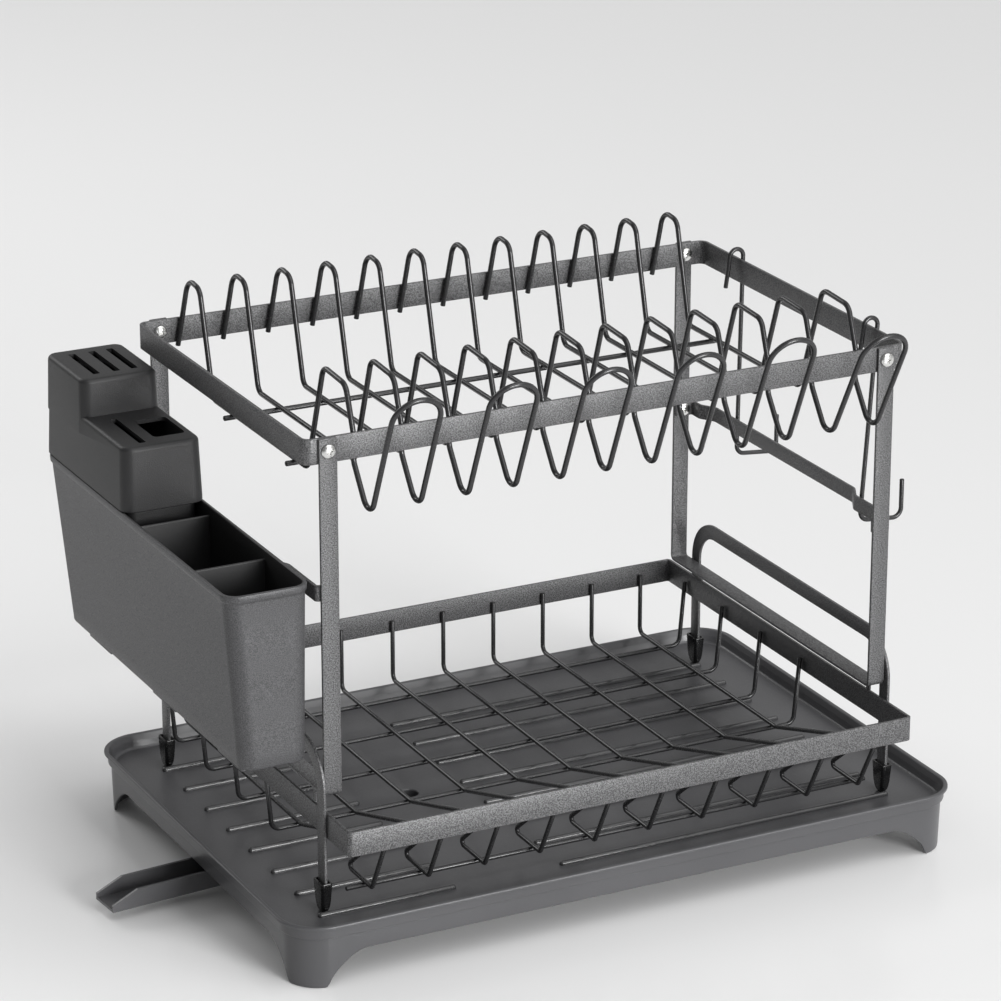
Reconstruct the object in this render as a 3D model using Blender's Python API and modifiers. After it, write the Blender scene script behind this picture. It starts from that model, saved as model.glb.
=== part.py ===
"""Two-tier dish drying rack: drip tray with swivel spout, wire racks on strip frames,
utensil holder with a knife block, and hooks for a cutting board. Metres, +Z up."""

import math

import bmesh
import bpy
from mathutils import Matrix, Vector

# Stock and clearances
GAP = 0.0003  # between pieces that touch in the real rack
STRIP_T = 0.002  # thickness of every flat strip
STRIP_H = 0.016  # height of the hoops' strips
WIRE_D = 0.0034  # upper rack wire
THIN_WIRE_D = 0.003  # lower rack wire

# Drip tray
TRAY_X = 0.471
TRAY_Y = 0.328
TRAY_H = 0.0423
TRAY_CORNER_R = 0.028
TRAY_WALL = 0.002
TRAY_FLOOR_Z = TRAY_H - 0.0091
TRAY_SKIRT_Z = TRAY_H - 0.0208  # lower edge of the wall between the legs
TRAY_BAND_H = 0.0090  # height of the rim's band, below which the wall steps in
TRAY_BAND_IN = 0.0022  # the lip stands out over the band by this much
TRAY_STEP_IN = 0.0044
LEG_FLAT = 0.0155  # half width of a leg's flat foot, measured along the outline
LEG_FLARE = 0.029  # further run along the outline up to the skirt's edge
LEG_DRAW = 0.0004  # a leg leans in by this much down to its foot

# Lower rack, which stands inside the tray
LOWER_X = TRAY_X - 0.077
LOWER_Y = TRAY_Y - 0.010
LOWER_FLOOR_Z = TRAY_FLOOR_Z + 0.0158
LOWER_TOP_Z = LOWER_FLOOR_Z + 0.0498
LOWER_WIRES = 10
LOWER_WIRE_PITCH = (LOWER_X - 0.0502) / (LOWER_WIRES - 1)
LOWER_TIP_DROP = 0.007  # wire ends stop this far below the strip's top edge
RAMP_FOOT_Y = -LOWER_Y / 2 + 0.126
RAMP_PEAK_Y = -LOWER_Y / 2 + 0.016
RAMP_PEAK_Z = LOWER_FLOOR_Z + 0.0345
HOOK_BACK_Y = -LOWER_Y / 2 + 0.058
HOOK_FRONT_Y = -LOWER_Y / 2 + 0.022
CROSS_YS = [LOWER_Y / 2 - 0.029 - 0.052 * step for step in (3, 2, 1, 0)]
CROSS_LEAN = 0.004  # a cross wire's upright ends stand in by this much at the floor
CROSS_BEND_R = 0.006
TIE_Y = HOOK_FRONT_Y + 0.012
TIE_X = LOWER_X / 2 - 0.013

# Leg arches and rubber feet
ARCH_W = 0.010
ARCH_TOP_Z = LOWER_TOP_Z + 0.0432
ARCH_BEND_R = 0.025
FOOT_Y = LOWER_Y / 2 - 0.036
FOOT_TALL = 0.020
FOOT_BOTTOM = (0.0050, 0.0080)
FOOT_TOP = (STRIP_T + 0.0054, ARCH_W + 0.0034)
FOOT_SOLE = 0.0028

# Raised bars on the tray's floor; the outer rows keep clear of the rubber feet
RIB_W = 0.0040
RIB_H = 0.0026
RIB_SINK = 0.0008
RIB_ROWS = 8
RIB_FIRST_Y = -FOOT_Y - 0.0070
RIB_PITCH = (FOOT_Y - 0.0073 - RIB_FIRST_Y) / (RIB_ROWS - 1)
RIB_LEFT = (-TRAY_X / 2 + 0.0305, -0.112)
RIB_RIGHT = (-0.040, TRAY_X / 2 - 0.0365)

# Drain nozzle and spout
DRAIN_X = -0.076
DRAIN_Y = 0.0115
DRAIN_R = 0.006
NOZZLE_R = 0.008
SPOUT_W = 0.024
SPOUT_WALL = 0.0018
SPOUT_TOP_Z = TRAY_SKIRT_Z - 0.0010  # it swings under the skirt
SPOUT_BOTTOM_Z = SPOUT_TOP_Z - 0.0120
SPOUT_REACH = TRAY_X / 2 - 0.0160
SPOUT_TIP = 0.0175  # length over which the side walls slope down to the mouth
SPOUT_LIP_H = 0.0045
SPOUT_DROP = 0.0015  # the trough falls by this much to its mouth
SPOUT_COVER = 0.030
SPOUT_COVER_T = 0.0022
SPOUT_TURN = math.radians(4.5)
NOZZLE_Z = SPOUT_TOP_Z - 0.0045

# Upper rack
UPPER_X = LOWER_X + 0.018
UPPER_FRONT_Y = -LOWER_Y / 2 + 0.037
UPPER_BACK_Y = LOWER_Y / 2 - 0.025
UPPER_TOP_Z = 0.336
UPPER_CORNER_R = 0.006
DIVIDERS = 12
DIVIDER_PITCH = (UPPER_X - 0.06803) / (DIVIDERS - 1)
RACK_FLOOR_Z = UPPER_TOP_Z - 0.044
HOOP_Z = UPPER_TOP_Z + 0.0275
BACK_HOOP_Y = (UPPER_BACK_Y - 0.0044, UPPER_BACK_Y - 0.023)
FRONT_HOOP_Y = (UPPER_FRONT_Y + 0.045, UPPER_FRONT_Y + 0.014)
FLOOR_Y = (UPPER_BACK_Y - 0.041, UPPER_FRONT_Y + 0.070)
VALLEY = (UPPER_FRONT_Y - 0.018, UPPER_TOP_Z - 0.050)
LOOP_TOP = (UPPER_FRONT_Y - 0.055, UPPER_TOP_Z + 0.034)
LAST_LOOP_LEAN = 0.006
LAST_LOOP_SHARE = 0.90  # the last loop is lower than the others
UPPER_CROSS_YS = (FLOOR_Y[0] - 0.028, FLOOR_Y[1] + 0.022)
BACK_LEG_LEAN = 0.008  # a divider's back leg ends this far to the left of its hoop
DIVIDER_BENDS = (0.0078, 0.0078, 0.0065, 0.0065, 0.0080, 0.0080, 0.010, 0.008, 0.008)

# Posts and crossbars
POST_X = LOWER_X / 2 - 0.006
POST_W = 0.0116
POST_FLOOR_Z = LOWER_TOP_Z + 0.0092
PIN_YS = (UPPER_FRONT_Y + 0.014, UPPER_BACK_Y - 0.022)
PIN_W = 0.004
BAR_H = 0.010
BAR_END_X = POST_X + 0.0075
BAR_X = POST_X + 0.014
BAR_FRONT_JOG = (UPPER_FRONT_Y + 0.042, UPPER_FRONT_Y + 0.054)
BAR_BACK_JOG = (UPPER_BACK_Y - 0.012, UPPER_BACK_Y - 0.022)
LEFT_BAR_Z = UPPER_TOP_Z - 0.102
RIGHT_BAR_Z = UPPER_TOP_Z - 0.123

# Screws
SCREW_R = 0.002
SCREW_HEAD_R = 0.0046
SCREW_HEAD_H = 0.0024
SCREW_HOLE_R = SCREW_R + GAP
RECESS_W = 0.0048
RECESS_T = 0.0008

# Cutting board holder
BOARD_YS = (UPPER_FRONT_Y + 0.040, UPPER_BACK_Y - 0.046)
BOARD_LEG_XS = (BAR_END_X + 0.0028, BAR_X + 0.0030)  # each leg hangs just outside the crossbar
BOARD_BOTTOM_ZS = (UPPER_TOP_Z - 0.130, UPPER_TOP_Z - 0.139)
BOARD_HOOK_R = 0.005
BOARD_HOOK_SPLAY = 0.003  # the short inner leg of the hook spreads by this much
BOARD_REACH = 0.031
BOARD_SAG = 0.003  # the arm's outer end is this much lower
BOARD_UPTURN = 0.026

# Utensil holder; its rim and base are x low, x high, y low, y high
HOLDER_W = 0.0534
HOLDER_HIGH_X = -(BAR_X + 0.0026)
HOLDER_RIM = (HOLDER_HIGH_X - HOLDER_W, HOLDER_HIGH_X, UPPER_FRONT_Y - 0.011, UPPER_BACK_Y + 0.024)
HOLDER_BASE = (HOLDER_RIM[0] + 0.009, HOLDER_RIM[1] - 0.0014, HOLDER_RIM[2] + 0.002, HOLDER_RIM[3] - 0.007)
HOLDER_TOP_Z = LEFT_BAR_Z + 0.017
HOLDER_BASE_Z = HOLDER_TOP_Z - 0.114
HOLDER_WALL = 0.0018
HOLDER_R = 0.010
HOLDER_BEAD = 0.0010
PARTITION_YS = (HOLDER_RIM[2] + 0.063, HOLDER_RIM[3] - 0.143)
PARTITION_T = 0.0016
PARTITION_DROP = 0.005
PAD_YS = (HOLDER_BASE[2] + 0.029, (HOLDER_BASE[2] + HOLDER_BASE[3]) / 2 - 0.010, HOLDER_BASE[3] - 0.045)
PAD_LENGTH = 0.036
PAD_H = 0.0035
HOLDER_HOOK_YS = (PARTITION_YS[0] + 0.030, PARTITION_YS[1] + 0.075)
HOLDER_HOOK_W = 0.020
HOLDER_HOOK_DEEP = 0.007

# Knife block
BLOCK_Y = (HOLDER_RIM[3] - 0.134, HOLDER_RIM[3] - 0.066, HOLDER_RIM[3])  # front face, step, back face
BLOCK_STEP_Z = HOLDER_TOP_Z + 0.042
BLOCK_TOP_Z = HOLDER_TOP_Z + 0.066
BLOCK_WALL = 0.0025
BLOCK_OVERHANG = 0.0006  # how far the block's lip stands out from the rim's wall
BLOCK_SKIRT_Z = HOLDER_TOP_Z - 0.026
BLOCK_FIT = 0.0008  # between the skirt and the inside of the holder
SLOT_W = 0.0046
SLOT_DEEP = 0.017
SLOT_XS = [HOLDER_HIGH_X - across for across in (0.0384, 0.0249, 0.0129)]
SLOT_Y = (BLOCK_Y[1] + 0.011, BLOCK_Y[2] - 0.011)
THIN_SLOT_X = HOLDER_HIGH_X - 0.0369
THIN_SLOT_Y = (BLOCK_Y[0] + 0.009, BLOCK_Y[1] - 0.010)
SQUARE_X = (HOLDER_HIGH_X - 0.0269, HOLDER_HIGH_X - 0.0059)
SQUARE_Y = (BLOCK_Y[0] + 0.015, BLOCK_Y[1] - 0.019)

FINISHES = {
    "tray_grey": ((0.075, 0.077, 0.080), 0.0, 0.42),
    "strip_grey": ((0.060, 0.062, 0.065), 0.6, 0.55),
    "wire_grey": ((0.045, 0.046, 0.049), 0.8, 0.30),
    "foot_black": ((0.010, 0.010, 0.010), 0.0, 0.35),
    "screw_zinc": ((0.720, 0.720, 0.700), 1.0, 0.25),
    "holder_grey": ((0.080, 0.082, 0.084), 0.0, 0.60),
    "block_black": ((0.022, 0.022, 0.023), 0.0, 0.65),
}


# ---------------------------------------------------------------- scene helpers


def clear_scene():
    """Removes every object of the startup scene."""
    for obj in list(bpy.data.objects):
        bpy.data.objects.remove(obj, do_unlink=True)


def collection(name, hidden=False):
    """A collection of this name, linked to the scene."""
    made = bpy.data.collections.new(name)
    made.hide_render = hidden
    bpy.context.scene.collection.children.link(made)
    return made


def material(finish, owner):
    """A Principled material of this finish for one piece."""
    colour, metallic, roughness = FINISHES[finish]
    made = bpy.data.materials.new(owner + "_" + finish)
    made.use_nodes = True
    shader = made.node_tree.nodes["Principled BSDF"]
    shader.inputs["Base Color"].default_value = (*colour, 1.0)
    shader.inputs["Metallic"].default_value = metallic
    shader.inputs["Roughness"].default_value = roughness
    return made


def piece(name, data, finish):
    """Puts mesh or curve data into the rack's collection as a named piece, under the root empty."""
    obj = bpy.data.objects.new(name, data)
    PARTS.objects.link(obj)
    obj.parent = ROOT
    data.materials.append(material(finish, name))
    return obj


def mesh_from(name, points, faces):
    """A mesh with its normals turned outwards."""
    shell = bmesh.new()
    corners = [shell.verts.new(point) for point in points]
    for face in faces:
        shell.faces.new([corners[index] for index in face])
    bmesh.ops.recalc_face_normals(shell, faces=shell.faces)
    data = bpy.data.meshes.new(name)
    shell.to_mesh(data)
    shell.free()
    return data


def tool_body(name, data):
    """A helper solid for a Boolean, kept out of the render."""
    obj = bpy.data.objects.new(name, data)
    TOOLS.objects.link(obj)
    obj.parent = ROOT
    obj.hide_render = True
    obj.display_type = "WIRE"
    return obj


def combine(target, name, data, operation):
    """Joins a helper solid to the target, or cuts it away."""
    step = target.modifiers.new(name, "BOOLEAN")
    step.operation = operation
    step.solver = "EXACT"
    step.object = tool_body(target.name + "_" + name, data)
    return step.object


# ------------------------------------------------------------------ solid helpers


def loft(name, loops):
    """Skins loops of equal count and caps both ends, for walls whose sections differ."""
    count = len(loops[0])
    points = [point for loop in loops for point in loop]
    faces = []
    for row in range(len(loops) - 1):
        low = row * count
        for index in range(count):
            after = (index + 1) % count
            faces.append((low + index, low + after, low + count + after, low + count + index))
    faces.append(tuple(range(count)))
    faces.append(tuple(range(len(points) - count, len(points))))
    return mesh_from(name, points, faces)


def box(name, low, high):
    """An axis-aligned box between two corners."""
    low, high = Vector(low), Vector(high)
    shell = bmesh.new()
    bmesh.ops.create_cube(shell, size=1.0)
    bmesh.ops.scale(shell, vec=high - low, verts=shell.verts)
    bmesh.ops.translate(shell, vec=(low + high) / 2, verts=shell.verts)
    return mesh_of(name, shell)


def mesh_of(name, shell):
    """Mesh data from a bmesh, which is freed."""
    data = bpy.data.meshes.new(name)
    shell.to_mesh(data)
    shell.free()
    return data


def plate(name, outlines, low, high, plane="XY"):
    """Flat stock cut to closed outlines in a plane (holes are outlines inside), from low to high across it."""
    curve = bpy.data.curves.new(name + "_outline", "CURVE")
    curve.dimensions = "2D"
    curve.fill_mode = "BOTH"
    curve.extrude = (high - low) / 2
    for outline in outlines:
        spline = curve.splines.new("POLY")
        spline.points.add(len(outline) - 1)
        for point, place in zip(spline.points, outline):
            point.co = (place[0], place[1], 0.0, 1.0)
        spline.use_cyclic_u = True
    guide = bpy.data.objects.new(name + "_outline", curve)
    TOOLS.objects.link(guide)
    turns = {"XY": (0, 0, 0), "YZ": (math.pi / 2, 0, math.pi / 2), "XZ": (math.pi / 2, 0, 0)}
    middle = (low + high) / 2
    places = {"XY": (0, 0, middle), "YZ": (middle, 0, 0), "XZ": (0, middle, 0)}
    guide.rotation_euler = turns[plane]
    guide.location = places[plane]
    bpy.context.view_layer.update()
    data = welded(guide, name)
    data.transform(guide.matrix_world)
    bpy.data.objects.remove(guide)
    return data


def welded(guide, name):
    """The evaluated mesh of a curve object, with its loose caps welded on."""
    graph = bpy.context.evaluated_depsgraph_get()
    data = bpy.data.meshes.new_from_object(guide.evaluated_get(graph))
    data.name = name
    shell = bmesh.new()
    shell.from_mesh(data)
    bmesh.ops.remove_doubles(shell, verts=shell.verts, dist=1e-6)
    bmesh.ops.recalc_face_normals(shell, faces=shell.faces)
    shell.to_mesh(data)
    shell.free()
    data.materials.clear()
    return data


def rounded_rect(x0, x1, y0, y1, radius, z, steps=3):
    """Counter-clockwise loop of a rounded rectangle at height z."""
    loop = []
    for quarter in range(4):
        cx = (x1 - radius) if quarter in (0, 1) else (x0 + radius)
        cy = (y1 - radius) if quarter in (1, 2) else (y0 + radius)
        for step in range(steps + 1):
            angle = math.radians(90 * (quarter - 1) + 90 * step / steps)
            loop.append((cx + radius * math.cos(angle), cy + radius * math.sin(angle), z))
    return loop


def rod(name, start, end, radius, sides=16):
    """A plain cylinder between two points."""
    start, end = Vector(start), Vector(end)
    length = (end - start).length
    turn = (end - start).to_track_quat("Z", "Y").to_matrix().to_4x4()
    shell = bmesh.new()
    bmesh.ops.create_cone(
        shell, cap_ends=True, segments=sides, radius1=radius, radius2=radius, depth=length,
        matrix=Matrix.Translation((start + end) / 2) @ turn,
    )
    return mesh_of(name, shell)


def turned(name, profile, finish, sides=16):
    """A piece turned about its own Z axis: profile is (radius, height), down its outer side, ends on the axis."""
    data = bpy.data.meshes.new(name)
    edges = [(index, index + 1) for index in range(len(profile) - 1)]
    data.from_pydata([(radius, 0.0, height) for radius, height in profile], edges, [])
    obj = piece(name, data, finish)
    screw = obj.modifiers.new("turn", "SCREW")
    screw.steps = sides
    screw.render_steps = sides
    screw.use_merge_vertices = True
    screw.merge_threshold = 0.00001
    return obj


def filleted(corners, radius, steps=3):
    """The polyline through these corners, inner ones rounded: radius is one number or one for each."""
    corners = [Vector(corner) for corner in corners]
    radii = radius if isinstance(radius, tuple) else [radius] * (len(corners) - 2)
    path = [corners[0]]
    for before, corner, after, bend in zip(corners, corners[1:], corners[2:], radii):
        back = (before - corner).normalized()
        ahead = (after - corner).normalized()
        half = back.angle(ahead) / 2
        shorter = min((before - corner).length, (after - corner).length)
        bend = min(bend, 0.45 * math.tan(half) * shorter)
        reach = bend / math.tan(half)
        middle = corner + (back + ahead).normalized() * bend / math.sin(half)
        start = corner + back * reach - middle
        end = corner + ahead * reach - middle
        swing = start.angle(end)
        for step in range(steps + 1):
            share = step / steps
            spoke = start * math.sin((1 - share) * swing) + end * math.sin(share * swing)
            path.append(middle + spoke / math.sin(swing))
    path.append(corners[-1])
    return path


def wire(name, path, diameter, finish="wire_grey"):
    """A round wire along a polyline, with closed ends."""
    data = bpy.data.curves.new(name, "CURVE")
    data.dimensions = "3D"
    data.bevel_depth = diameter / 2
    data.bevel_resolution = 2
    data.use_fill_caps = True
    spline = data.splines.new("POLY")
    spline.points.add(len(path) - 1)
    for point, place in zip(spline.points, path):
        point.co = (*place, 1.0)
    spline.use_smooth = True
    return piece(name, data, finish)


def ribbon(name, path, width, low, high, plane):
    """A bent flat bar: a path in the YZ or XY plane, as wide as width in it, from low to high across it."""
    path = [Vector((point[0], point[1])) for point in path]
    left, right = [], []
    for index, point in enumerate(path):
        before = path[max(index - 1, 0)]
        after = path[min(index + 1, len(path) - 1)]
        incoming = (point - before).normalized() if index else (after - point).normalized()
        outgoing = (after - point).normalized() if index < len(path) - 1 else incoming
        mitre = (incoming + outgoing).normalized()
        normal = Vector((-mitre.y, mitre.x))
        reach = width / 2 / max(normal.dot(Vector((-incoming.y, incoming.x))), 0.3)
        left.append(point + normal * reach)
        right.append(point - normal * reach)
    return plate(name, [left + right[::-1]], low, high, plane)


def hoop(name, x0, x1, y0, y1, z0, z1, radius):
    """A rectangular hoop of upright strip with rounded corners."""
    outer = rounded_rect(x0, x1, y0, y1, radius, 0)
    inner = rounded_rect(*shrunk((x0, x1, y0, y1), STRIP_T), radius - STRIP_T, 0)
    return plate(name, [outer, inner], z0, z1)


def prism(name, rect, radius, z0, z1):
    """A straight-walled block with rounded upright edges."""
    return plate(name, [rounded_rect(*rect, radius, 0)], z0, z1)


def shrunk(rect, amount):
    """A rectangle (x low, x high, y low, y high) moved in on every side."""
    x0, x1, y0, y1 = rect
    return (x0 + amount, x1 - amount, y0 + amount, y1 - amount)


# ---------------------------------------------------------------------- drip tray


def leg_edge(distance):
    """Height of the tray wall's lower edge at this distance from a corner's middle."""
    share = min(max((distance - LEG_FLAT) / LEG_FLARE, 0.0), 1.0)
    rounding = min(share / 0.15, 1.0) ** 0.7
    return TRAY_SKIRT_Z * (1 - (1 - share) ** 1.8) * rounding


def tray_loop(inset, height):
    """The tray's outline moved inwards; height is a number, or a function of the leg distance."""
    radius = TRAY_CORNER_R - inset
    mid_x, mid_y = TRAY_X / 2 - TRAY_CORNER_R, TRAY_Y / 2 - TRAY_CORNER_R
    runs = [0.003, 0.008, 0.013, 0.018, 0.0255]
    arc = TRAY_CORNER_R * math.pi / 4
    loop = []
    for quarter in range(4):
        cx = mid_x if quarter in (0, 1) else -mid_x
        cy = mid_y if quarter in (1, 2) else -mid_y
        for step in range(7):
            angle = math.radians(90 * (quarter - 1) + 90 * step / 6)
            spot = Vector((cx + radius * math.cos(angle), cy + radius * math.sin(angle)))
            loop.append((spot, arc * abs(step - 3) / 3))
        ahead = Vector((-math.sin(angle), math.cos(angle)))
        side = 2 * (mid_y if quarter in (0, 2) else mid_x)
        for run in runs:
            loop.append((spot + ahead * run, arc + run))
        for run in reversed(runs):
            loop.append((spot + ahead * (side - run), arc + run))
    level = height if callable(height) else lambda distance: height
    return [(spot.x, spot.y, level(distance)) for spot, distance in loop]


def skirt_inset(inset):
    """The skirt's lower edge, moved in and drawn in a little towards the foot of each leg."""
    edge = tray_loop(inset, leg_edge)
    foot = tray_loop(inset + LEG_DRAW, leg_edge)
    mixed = []
    for outer, inner in zip(edge, foot):
        share = 1 - outer[2] / TRAY_SKIRT_Z
        mixed.append(tuple(a + (b - a) * share for a, b in zip(outer, inner)))
    return mixed


def tray_mesh():
    """The tray's shell: rim lip, stepped outer wall, legs, inner wall and floor."""
    under = TRAY_FLOOR_Z - TRAY_WALL
    step_z = TRAY_H - TRAY_BAND_H
    wall, band, step = TRAY_WALL, TRAY_BAND_IN, TRAY_STEP_IN
    loops = [
        tray_loop(step + 2.8 * wall, under),
        tray_loop(step + 1.3 * wall, under),
        skirt_inset(step + 0.0004 + wall),
        skirt_inset(step + 0.0004),
        tray_loop(step, step_z - 0.0010),
        tray_loop(band + 0.0004, step_z),
        tray_loop(band, TRAY_H - 0.0024),
        tray_loop(0.0004, TRAY_H - 0.0018),
        tray_loop(0.0000, TRAY_H - 0.0007),
        tray_loop(0.0010, TRAY_H),
        tray_loop(band + 0.0006, TRAY_H),
        tray_loop(band + wall + 0.0004, TRAY_H - 0.0030),
        tray_loop(step + 1.1 * wall, TRAY_FLOOR_Z + 0.0014),
        tray_loop(step + 2.4 * wall, TRAY_FLOOR_Z),
    ]
    return loft("drip_tray", loops)


def rib_outline(x0, x1, y):
    """A long bar's outline with round ends."""
    half = RIB_W / 2
    return rounded_rect(x0, x1, y - half, y + half, half * 0.98, 0, 2)


def make_tray():
    """Drip tray with ribs, drain hole and the nozzle that the spout turns on."""
    tray = piece("drip_tray", tray_mesh(), "tray_grey")
    outlines = []
    for row in range(RIB_ROWS):
        y = RIB_FIRST_Y + RIB_PITCH * row
        outlines.append(rib_outline(*RIB_LEFT, y))
        outlines.append(rib_outline(*RIB_RIGHT, y))
    bars = plate("ribs", outlines, TRAY_FLOOR_Z - RIB_SINK, TRAY_FLOOR_Z + RIB_H)
    ribs = combine(tray, "ribs", bars, "UNION")
    edge = ribs.modifiers.new("crown", "BEVEL")
    edge.width = 0.0009
    edge.segments = 1
    edge.limit_method = "ANGLE"
    edge.angle_limit = math.radians(60)
    top = (DRAIN_X, DRAIN_Y, TRAY_FLOOR_Z - TRAY_WALL / 2)
    nozzle = rod("nozzle", (DRAIN_X, DRAIN_Y, NOZZLE_Z), top, NOZZLE_R, 20)
    combine(tray, "nozzle", nozzle, "UNION")
    above = (DRAIN_X, DRAIN_Y, TRAY_H)
    drain = rod("drain", (DRAIN_X, DRAIN_Y, NOZZLE_Z - 0.002), above, DRAIN_R, 20)
    combine(tray, "drain", drain, "DIFFERENCE")


def merged(name, meshes):
    """One mesh holding several separate solids, for use as a Boolean tool."""
    shell = bmesh.new()
    for data in meshes:
        shell.from_mesh(data)
    return mesh_of(name, shell)


def trough_loop(half, x, low, high):
    """Cross-section corners of the spout's trough at x: open channel seen along its length."""
    wall = SPOUT_WALL
    y = DRAIN_Y
    return [
        (x, y - half, low), (x, y + half, low), (x, y + half, high), (x, y + half - wall, high),
        (x, y + half - wall, low + wall), (x, y - half + wall, low + wall),
        (x, y - half + wall, high), (x, y - half, high),
    ]


def make_spout():
    """Open trough with a covered inner end whose hole fits round the tray's nozzle."""
    half = SPOUT_W / 2
    inner_x = DRAIN_X + SPOUT_COVER / 2
    bend_x = DRAIN_X - SPOUT_REACH + SPOUT_TIP
    tip_x = DRAIN_X - SPOUT_REACH
    low = SPOUT_BOTTOM_Z
    loops = [
        trough_loop(half, inner_x, low, SPOUT_TOP_Z),
        trough_loop(half, bend_x, low - SPOUT_DROP * 0.9, SPOUT_TOP_Z - SPOUT_DROP * 0.9),
        trough_loop(half, tip_x, low - SPOUT_DROP, low - SPOUT_DROP + SPOUT_LIP_H),
    ]
    spout = piece("drain_spout", loft("drain_spout", loops), "tray_grey")
    cover_z = SPOUT_TOP_Z - SPOUT_COVER_T
    cover = box(
        "cover", (inner_x - SPOUT_COVER, DRAIN_Y - half, cover_z), (inner_x, DRAIN_Y + half, SPOUT_TOP_Z)
    )
    combine(spout, "cover", cover, "UNION")
    end = box("end", (inner_x - SPOUT_WALL, DRAIN_Y - half, low), (inner_x, DRAIN_Y + half, SPOUT_TOP_Z))
    combine(spout, "end", end, "UNION")
    above = (DRAIN_X, DRAIN_Y, SPOUT_TOP_Z + 0.002)
    hole = rod("hole", (DRAIN_X, DRAIN_Y, cover_z - 0.002), above, NOZZLE_R + GAP, 20)
    combine(spout, "hole", hole, "DIFFERENCE")
    pivot = Vector((DRAIN_X, DRAIN_Y, SPOUT_TOP_Z))
    for body in [spout] + [step.object for step in spout.modifiers]:
        set_origin(body, pivot)
        body.rotation_euler = (0, 0, SPOUT_TURN)


# ------------------------------------------------------------------ legs and frames


def make_lower_frame():
    """Strip hoop of the lower rack."""
    x, y = LOWER_X / 2, LOWER_Y / 2
    low = LOWER_TOP_Z - STRIP_H
    piece("lower_frame", hoop("lower_frame", -x, x, -y, y, low, LOWER_TOP_Z, 0.0032), "strip_grey")


def arch_x(side):
    """Inner and outer faces of a leg arch, just outside the lower frame."""
    inner = LOWER_X / 2 + GAP
    return sorted((side * inner, side * (inner + STRIP_T)))


def make_leg_arch(name, side):
    """Flat bar bent to an inverted U: two legs, and a handle across the top."""
    foot = TRAY_FLOOR_Z + GAP + FOOT_SOLE + GAP
    top = ARCH_TOP_Z - ARCH_W / 2
    corners = [(-FOOT_Y, foot, 0), (-FOOT_Y, top, 0), (FOOT_Y, top, 0), (FOOT_Y, foot, 0)]
    path = filleted(corners, ARCH_BEND_R, 6)
    piece(name, ribbon(name, path, ARCH_W, *arch_x(side), "YZ"), "strip_grey")


def make_foot(name, side, y):
    """Rubber cap with a slot that takes the end of a leg."""
    low_x, high_x = arch_x(side)
    x = (low_x + high_x) / 2
    base = TRAY_FLOOR_Z + GAP

    def loop(size_x, size_y, height, corner=0.45):
        half_x, half_y = size_x / 2, size_y / 2
        radius = corner * min(size_x, size_y)
        return rounded_rect(x - half_x, x + half_x, y - half_y, y + half_y, radius, height)

    slot = (STRIP_T + 2 * GAP, ARCH_W + 2 * GAP)
    middle = (FOOT_TOP[0] * 0.94, FOOT_TOP[1] * 0.94)
    loops = [
        loop(*FOOT_BOTTOM, base),
        loop(*middle, base + 0.004, 0.35),
        loop(*FOOT_TOP, base + FOOT_TALL, 0.20),
        loop(*slot, base + FOOT_TALL, 0.05),
        loop(*slot, base + FOOT_SOLE, 0.05),
    ]
    piece(name, loft(name, loops), "foot_black")


def screw_hole(target, name, x, y, z):
    """A hole along Y for one screw."""
    hole = rod(name, (x, y - 0.006, z), (x, y + 0.006, z), SCREW_HOLE_R, 12)
    combine(target, name, hole, "DIFFERENCE")


def make_upper_frame():
    """Strip hoop of the upper rack, drilled for the post screws."""
    x = UPPER_X / 2
    low = UPPER_TOP_Z - STRIP_H
    data = hoop("upper_frame", -x, x, UPPER_FRONT_Y, UPPER_BACK_Y, low, UPPER_TOP_Z, UPPER_CORNER_R)
    frame = piece("upper_frame", data, "strip_grey")
    middle = UPPER_TOP_Z - STRIP_H / 2
    for side in (-1, 1):
        tag = "left" if side < 0 else "right"
        screw_hole(frame, "hole_front_" + tag, side * POST_X, UPPER_FRONT_Y + STRIP_T / 2, middle)
        screw_hole(frame, "hole_back_" + tag, side * POST_X, UPPER_BACK_Y - STRIP_T / 2, middle)


def post_planes():
    """Middle planes of the front and back posts, outside the upper frame."""
    out = GAP + STRIP_T / 2
    return UPPER_FRONT_Y - out, UPPER_BACK_Y + out


def make_post_frame(name, side, bar_z):
    """Strip bent to a U: front post, floor strip, back post, with two feet on the lower frame."""
    front, back = post_planes()
    low_z = POST_FLOOR_Z + STRIP_T / 2
    top = UPPER_TOP_Z
    path = filleted([(front, top, 0), (front, low_z, 0), (back, low_z, 0), (back, top, 0)], 0.003)
    low_x, high_x = sorted((side * (POST_X - POST_W / 2), side * (POST_X + POST_W / 2)))
    frame = piece(name, ribbon(name, path, STRIP_T, low_x, high_x, "YZ"), "strip_grey")
    pins = []
    inner, outer = sorted((side * (LOWER_X / 2 - STRIP_T), side * (LOWER_X / 2 - 0.0006)))
    for y in PIN_YS:
        low = (inner, y - PIN_W / 2, LOWER_TOP_Z + GAP)
        pins.append(box("pin", low, (outer, y + PIN_W / 2, POST_FLOOR_Z + STRIP_T / 2)))
    combine(frame, "pins", merged("pins", pins), "UNION")
    middle = UPPER_TOP_Z - STRIP_H / 2
    screw_hole(frame, "top_front", side * POST_X, front, middle)
    screw_hole(frame, "top_back", side * POST_X, back, middle)
    screw_hole(frame, "bar_front", side * POST_X, front, bar_z + BAR_H / 2)
    screw_hole(frame, "bar_back", side * POST_X, back, bar_z + BAR_H / 2)


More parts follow.
